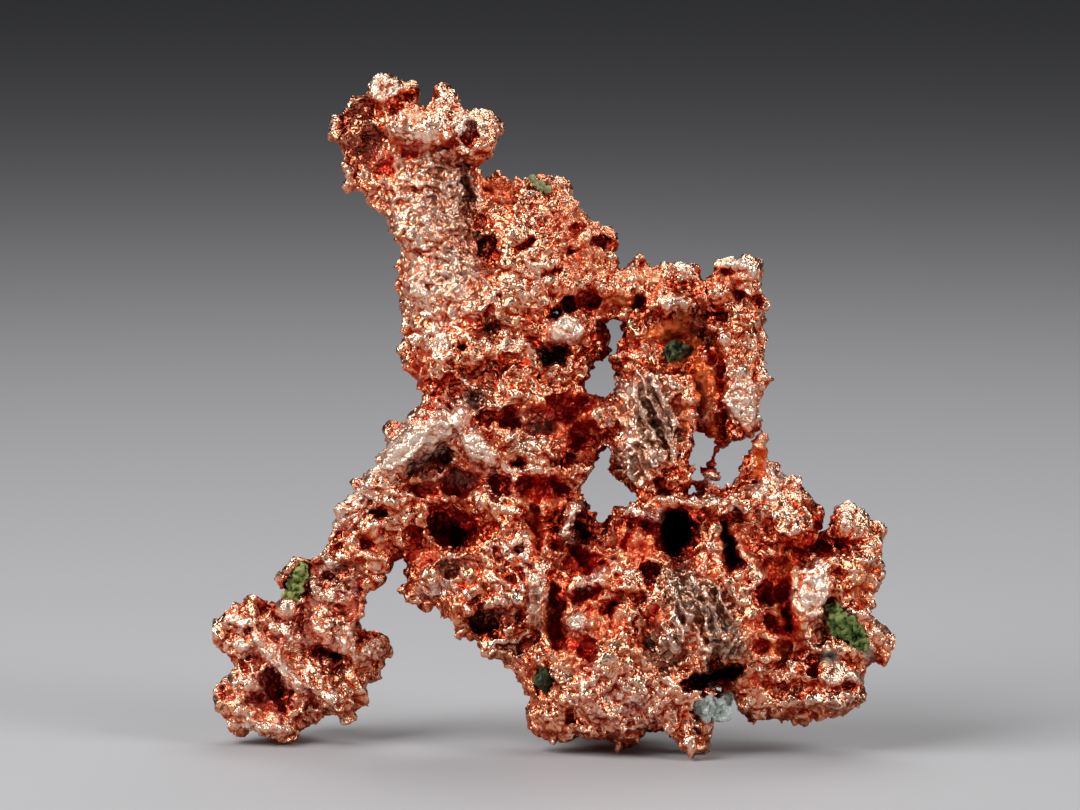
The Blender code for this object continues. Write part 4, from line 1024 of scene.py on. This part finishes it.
class Nodes:
    """Short calls for a material's nodes."""

    def __init__(self, name):
        self.material = bpy.data.materials.new(name)
        self.material.use_nodes = True
        self.tree = self.material.node_tree
        self.shader = self.tree.nodes["Principled BSDF"]

    def add(self, kind, **settings):
        node = self.tree.nodes.new(kind)
        for name, value in settings.items():
            setattr(node, name, value)
        return node

    def link(self, source, target):
        self.tree.links.new(source, target)

    def attribute(self, name):
        return self.add("ShaderNodeAttribute", attribute_name=name).outputs["Fac"]

    def math(self, operation, *values, clamp=False):
        node = self.add("ShaderNodeMath", operation=operation, use_clamp=clamp)
        for socket, value in zip(node.inputs, values):
            if isinstance(value, (int, float)):
                socket.default_value = value
            else:
                self.link(value, socket)
        return node.outputs[0]

    def plus(self, base, value, share):
        """The base with a share of the value added."""
        return self.math("MULTIPLY_ADD", value, share, base)

    def bent(self, scale, reach):
        """Object coordinates pushed about by a noise, so that no texture shows a grid."""
        place = self.add("ShaderNodeTexCoord").outputs["Object"]
        wobble = self.add("ShaderNodeTexNoise")
        wobble.inputs["Scale"].default_value = scale
        self.link(place, wobble.inputs["Vector"])
        moved = self.add("ShaderNodeVectorMath", operation="MULTIPLY_ADD")
        self.link(wobble.outputs["Color"], moved.inputs[0])
        moved.inputs[1].default_value = (reach, reach, reach)
        self.link(place, moved.inputs[2])
        return moved.outputs[0]

    def noise(self, scale, detail=2.0, roughness=0.5, place=None):
        node = self.add("ShaderNodeTexNoise")
        node.inputs["Scale"].default_value = scale
        node.inputs["Detail"].default_value = detail
        node.inputs["Roughness"].default_value = roughness
        self.link(place or self.add("ShaderNodeTexCoord").outputs["Object"], node.inputs["Vector"])
        return node.outputs["Fac"]

    def creases(self, scale, place):
        """0 along winding creases, rising to 1 on the rounded folds between them."""
        wave = self.plus(-1.0, self.noise(scale, detail=1, place=place), 2.0)
        return self.math("MULTIPLY", self.math("ABSOLUTE", wave), 3.2, clamp=True)

    def chips(self, scale, place):
        """A colour of its own for every small cell."""
        node = self.add("ShaderNodeTexVoronoi")
        node.inputs["Scale"].default_value = scale
        self.link(place, node.inputs["Vector"])
        return node.outputs["Color"]

    def ramp(self, value, stops):
        node = self.add("ShaderNodeValToRGB")
        elements = node.color_ramp.elements
        while len(elements) < len(stops):
            elements.new(0.5)
        for element, (position, colour) in zip(elements, stops):
            element.position = position
            element.color = (*colour, 1)
        self.link(value, node.inputs["Fac"])
        return node.outputs["Color"]

    def mix(self, factor, first, second):
        node = self.add("ShaderNodeMix", data_type="RGBA")
        self.link(factor, node.inputs["Factor"])
        for socket, value in ((node.inputs["A"], first), (node.inputs["B"], second)):
            if isinstance(value, tuple):
                socket.default_value = (*value, 1)
            else:
                self.link(value, socket)
        return node.outputs["Result"]

    def span(self, value, low, high):
        node = self.add("ShaderNodeMapRange")
        node.inputs["To Min"].default_value = low
        node.inputs["To Max"].default_value = high
        self.link(value, node.inputs["Value"])
        return node.outputs["Result"]

    def bump(self, height, distance, strength=1.0):
        node = self.add("ShaderNodeBump")
        node.inputs["Strength"].default_value = strength
        node.inputs["Distance"].default_value = distance
        self.link(height, node.inputs["Height"])
        return node.outputs["Normal"]

    def lean(self, normal, colour, reach):
        """A normal leaned by a colour, so that each chip catches the light on its own."""
        centred = self.add("ShaderNodeVectorMath", operation="SUBTRACT")
        self.link(colour, centred.inputs[0])
        centred.inputs[1].default_value = (0.5, 0.5, 0.5)
        offset = self.add("ShaderNodeVectorMath", operation="SCALE")
        self.link(centred.outputs[0], offset.inputs[0])
        if isinstance(reach, float):
            offset.inputs["Scale"].default_value = reach
        else:
            self.link(reach, offset.inputs["Scale"])
        total = self.add("ShaderNodeVectorMath", operation="ADD")
        self.link(normal, total.inputs[0])
        self.link(offset.outputs[0], total.inputs[1])
        unit = self.add("ShaderNodeVectorMath", operation="NORMALIZE")
        self.link(total.outputs[0], unit.inputs[0])
        return unit.outputs[0]


def copper_painted_light(nodes, folds, foil):
    """Painted light and shade for the metal. It is near 0 (painted shade) deep in a hollow, in creases, on
    sunk and down-facing skin, and near 1 (painted highlight) on open crests, folds and proud blocks, with a
    random tone on top.
    """
    light = nodes.span(nodes.attribute("open"), -0.22, 0.56)
    light = nodes.plus(light, nodes.attribute("crest"), 0.24)
    light = nodes.plus(light, folds, nodes.plus(0.34, foil, 0.26))
    light = nodes.plus(light, nodes.attribute("relief"), 0.26)
    light = nodes.plus(light, nodes.attribute("underside_shade"), -0.34)
    light = nodes.math("ADD", light, nodes.span(nodes.noise(330, detail=2), -0.30, 0.20))
    return nodes.math("ADD", light, nodes.span(nodes.noise(110, detail=1), -0.14, 0.10))


def copper_films(nodes, folds):
    """Where each film lies, broken up by a noise, and where highlights are painted, strongest on folds and
    crests.
    """
    crests = nodes.attribute("crest")
    patchy = nodes.span(nodes.noise(800, detail=3, roughness=0.6), 0.0, 1.9)
    low = nodes.plus(nodes.plus(1.1, folds, -0.5), crests, -0.4)
    high = nodes.plus(nodes.plus(-0.05, folds, 1.3), crests, 0.5)
    tarnish = nodes.math("MULTIPLY", nodes.attribute("tarnish"), patchy)
    return {
        "red": nodes.math("MULTIPLY", nodes.attribute("flush"), patchy, clamp=True),
        "orange": nodes.math("MULTIPLY", nodes.attribute("orange"), patchy, clamp=True),
        "tarnish": nodes.math("MULTIPLY", tarnish, low, clamp=True),
        "verdigris": nodes.attribute("verdigris"),
        "bright": nodes.math("MULTIPLY", nodes.attribute("bright"), high, clamp=True),
    }


def copper_colour(nodes, light, films):
    # Painted light and shade set the metal's tone, and the oxide film is darkened the same way as painted
    # shade.
    metal = nodes.ramp(light, METAL_PAINTED_LIGHT_TONES)
    metal = nodes.mix(films["red"], metal, nodes.ramp(light, OXIDE_PAINTED_SHADE_TONES))
    metal = nodes.mix(films["orange"], metal, ORANGE_FILM)
    metal = nodes.mix(nodes.math("MULTIPLY", films["tarnish"], 0.95), metal, BROWN_TARNISH)
    metal = nodes.mix(films["verdigris"], metal, GREY_GREEN_FILM)
    # Painted highlight, laid pale where the highlight patches lie.
    metal = nodes.mix(films["bright"], metal, PAINTED_HIGHLIGHT_TONE)
    # Painted shade: the deepest hollows are painted near black.
    return nodes.mix(nodes.attribute("void_shade"), metal, PAINTED_VOID_SHADE)


def copper_material():
    """Bright copper with red and orange oxide films in its hollows, painted shade and painted
    copper-on-copper reflection deep in them, painted highlights on open crests and folds, and creased,
    chipped glints.
    """
    nodes = Nodes("native_copper")
    nodes.shader.inputs["Specular Tint"].default_value = COPPER_TINT
    place = nodes.bent(600, 0.0011)
    coarse_folds = nodes.math("MULTIPLY", nodes.creases(680, place), 0.6)
    folds = nodes.plus(coarse_folds, nodes.creases(1900, place), 0.4)
    foil = nodes.attribute("foil")
    films = copper_films(nodes, folds)
    colour = copper_colour(nodes, copper_painted_light(nodes, folds, foil), films)
    nodes.link(colour, nodes.shader.inputs["Base Color"])
    # The films are less metallic. The painted highlight patches are a little less metallic too, which lifts
    # them to a pale pink.
    dull = nodes.math("MULTIPLY", films["red"], 0.6)
    for film, share in (("orange", 0.85), ("verdigris", 0.85), ("bright", 0.3)):
        dull = nodes.math("MAXIMUM", dull, nodes.math("MULTIPLY", films[film], share))
    nodes.link(nodes.math("SUBTRACT", 1.0, dull), nodes.shader.inputs["Metallic"])
    rough = nodes.plus(nodes.span(nodes.noise(1100, detail=2), 0.12, 0.40), foil, 0.10)
    nodes.link(rough, nodes.shader.inputs["Roughness"])
    normal = nodes.bump(folds, 0.16 * MM, 0.8)
    glint = nodes.plus(0.60, foil, -0.2)
    nodes.link(nodes.lean(normal, nodes.chips(850, place), glint), nodes.shader.inputs["Normal"])
    return nodes.material


def grain_material(name, dark, middle, bright, rough):
    """A fractured mineral whose colour changes from chip to chip."""
    nodes = Nodes(name)
    place = nodes.bent(700, 0.0008)
    mottle = nodes.noise(1000, detail=3, roughness=0.6, place=place)
    # Painted highlight: crests are painted a little brighter on top of the mottled colour.
    shade = nodes.plus(mottle, nodes.attribute("crest"), 0.2)
    colour = nodes.ramp(shade, ((0.36, dark), (0.5, middle), (0.66, bright)))
    nodes.link(colour, nodes.shader.inputs["Base Color"])
    nodes.link(nodes.span(nodes.noise(1500), rough - 0.12, rough + 0.12), nodes.shader.inputs["Roughness"])
    normal = nodes.bump(nodes.creases(1500, place), 0.1 * MM, 0.6)
    nodes.link(nodes.lean(normal, nodes.chips(1600, place), 0.5), nodes.shader.inputs["Normal"])
    return nodes


def make_grain(name):
    """A grain broken into crystal faces."""
    grain = linked("crystals_" + name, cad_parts[name].data.copy())
    remesh(grain, FINE_VOXEL, 1)
    points = vectors(grain.data, "co")
    spots = points / MM
    push = CRYSTALS[1] * facets(spots, CRYSTALS[0], seed=81, tilt=1.2, step=0.5)
    push += SPLITS[1] * facets(spots, SPLITS[0], seed=83, tilt=1.2, step=0.4)
    place(grain.data, inside_box(points + vectors(grain.data, "normal") * (push * MM)[:, None]))
    store_crests(grain)
    return grain


def make_grains():
    """Each grain in its own colours; the whitish one lets light through."""
    for name, (dark, middle, bright, rough, clear) in GRAINS.items():
        nodes = grain_material(name, dark, middle, bright, rough)
        nodes.shader.inputs["Transmission Weight"].default_value = clear
        nodes.shader.inputs["IOR"].default_value = 1.6
        nodes.shader.inputs["Specular IOR Level"].default_value = 0.5 if clear else 0.16
        grain = make_grain(name)
        grain.data.materials.clear()
        grain.data.materials.append(nodes.material)
        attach(grain, "root")
        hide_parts(name)


def dress_copper():
    """The patches of the skin, all in the one copper material."""
    native_copper = copper_material()
    for copper in make_copper():
        copper.data.materials.clear()
        copper.data.materials.append(native_copper)
        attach(copper, "root")
        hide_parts("nugget")


def area_light(name, place, size, power):
    """A soft light that looks at the nugget."""
    data = bpy.data.lights.new(name, "AREA")
    data.shape = "RECTANGLE"
    data.size, data.size_y = size
    data.energy = power
    lamp = bpy.data.objects.new(name, data)
    bpy.context.scene.collection.objects.link(lamp)
    lamp.location = place
    lamp.rotation_euler = (Vector(LIGHT_AIM) - Vector(place)).to_track_quat("-Z", "Y").to_euler()


def make_studio():
    """A plain pale floor, a dim grey room and three soft lights."""
    bpy.ops.mesh.primitive_plane_add(size=FLOOR_SIZE, location=(0, 0, -FLOOR_GAP))
    floor = bpy.context.object
    floor.name = "floor"
    paint = bpy.data.materials.new("pale_floor")
    paint.use_nodes = True
    surface = paint.node_tree.nodes["Principled BSDF"]
    surface.inputs["Base Color"].default_value = FLOOR_GREY
    surface.inputs["Roughness"].default_value = 0.6
    floor.data.materials.append(paint)
    scene = bpy.context.scene
    scene.world = bpy.data.worlds.new("studio")
    scene.world.use_nodes = True
    room = scene.world.node_tree.nodes["Background"]
    room.inputs["Color"].default_value = ROOM_GREY
    room.inputs["Strength"].default_value = 1.0
    scene.view_settings.view_transform = "Standard"
    for name, (place, size, power) in LIGHTS.items():
        area_light(name, place, size, power)


def make_camera():
    """A camera at the photograph's angle, which is the layout's lean."""
    data = bpy.data.cameras.new("camera")
    camera = bpy.data.objects.new("camera", data)
    bpy.context.scene.collection.objects.link(camera)
    bpy.context.scene.camera = camera
    data.sensor_width = SENSOR_WIDTH
    data.lens = SENSOR_WIDTH * CAMERA_DISTANCE / FRAME_WIDTH
    forward = Vector((0, math.cos(LEAN), -math.sin(LEAN)))
    up = Vector((0, math.sin(LEAN), math.cos(LEAN)))
    target = Vector((FRAME_MIDDLE[0], 0, 0)) + up * FRAME_MIDDLE[1]
    camera.location = target - forward * CAMERA_DISTANCE
    camera.rotation_euler = forward.to_track_quat("-Z", "Y").to_euler()


make_grains()
dress_copper()
make_studio()
make_camera()
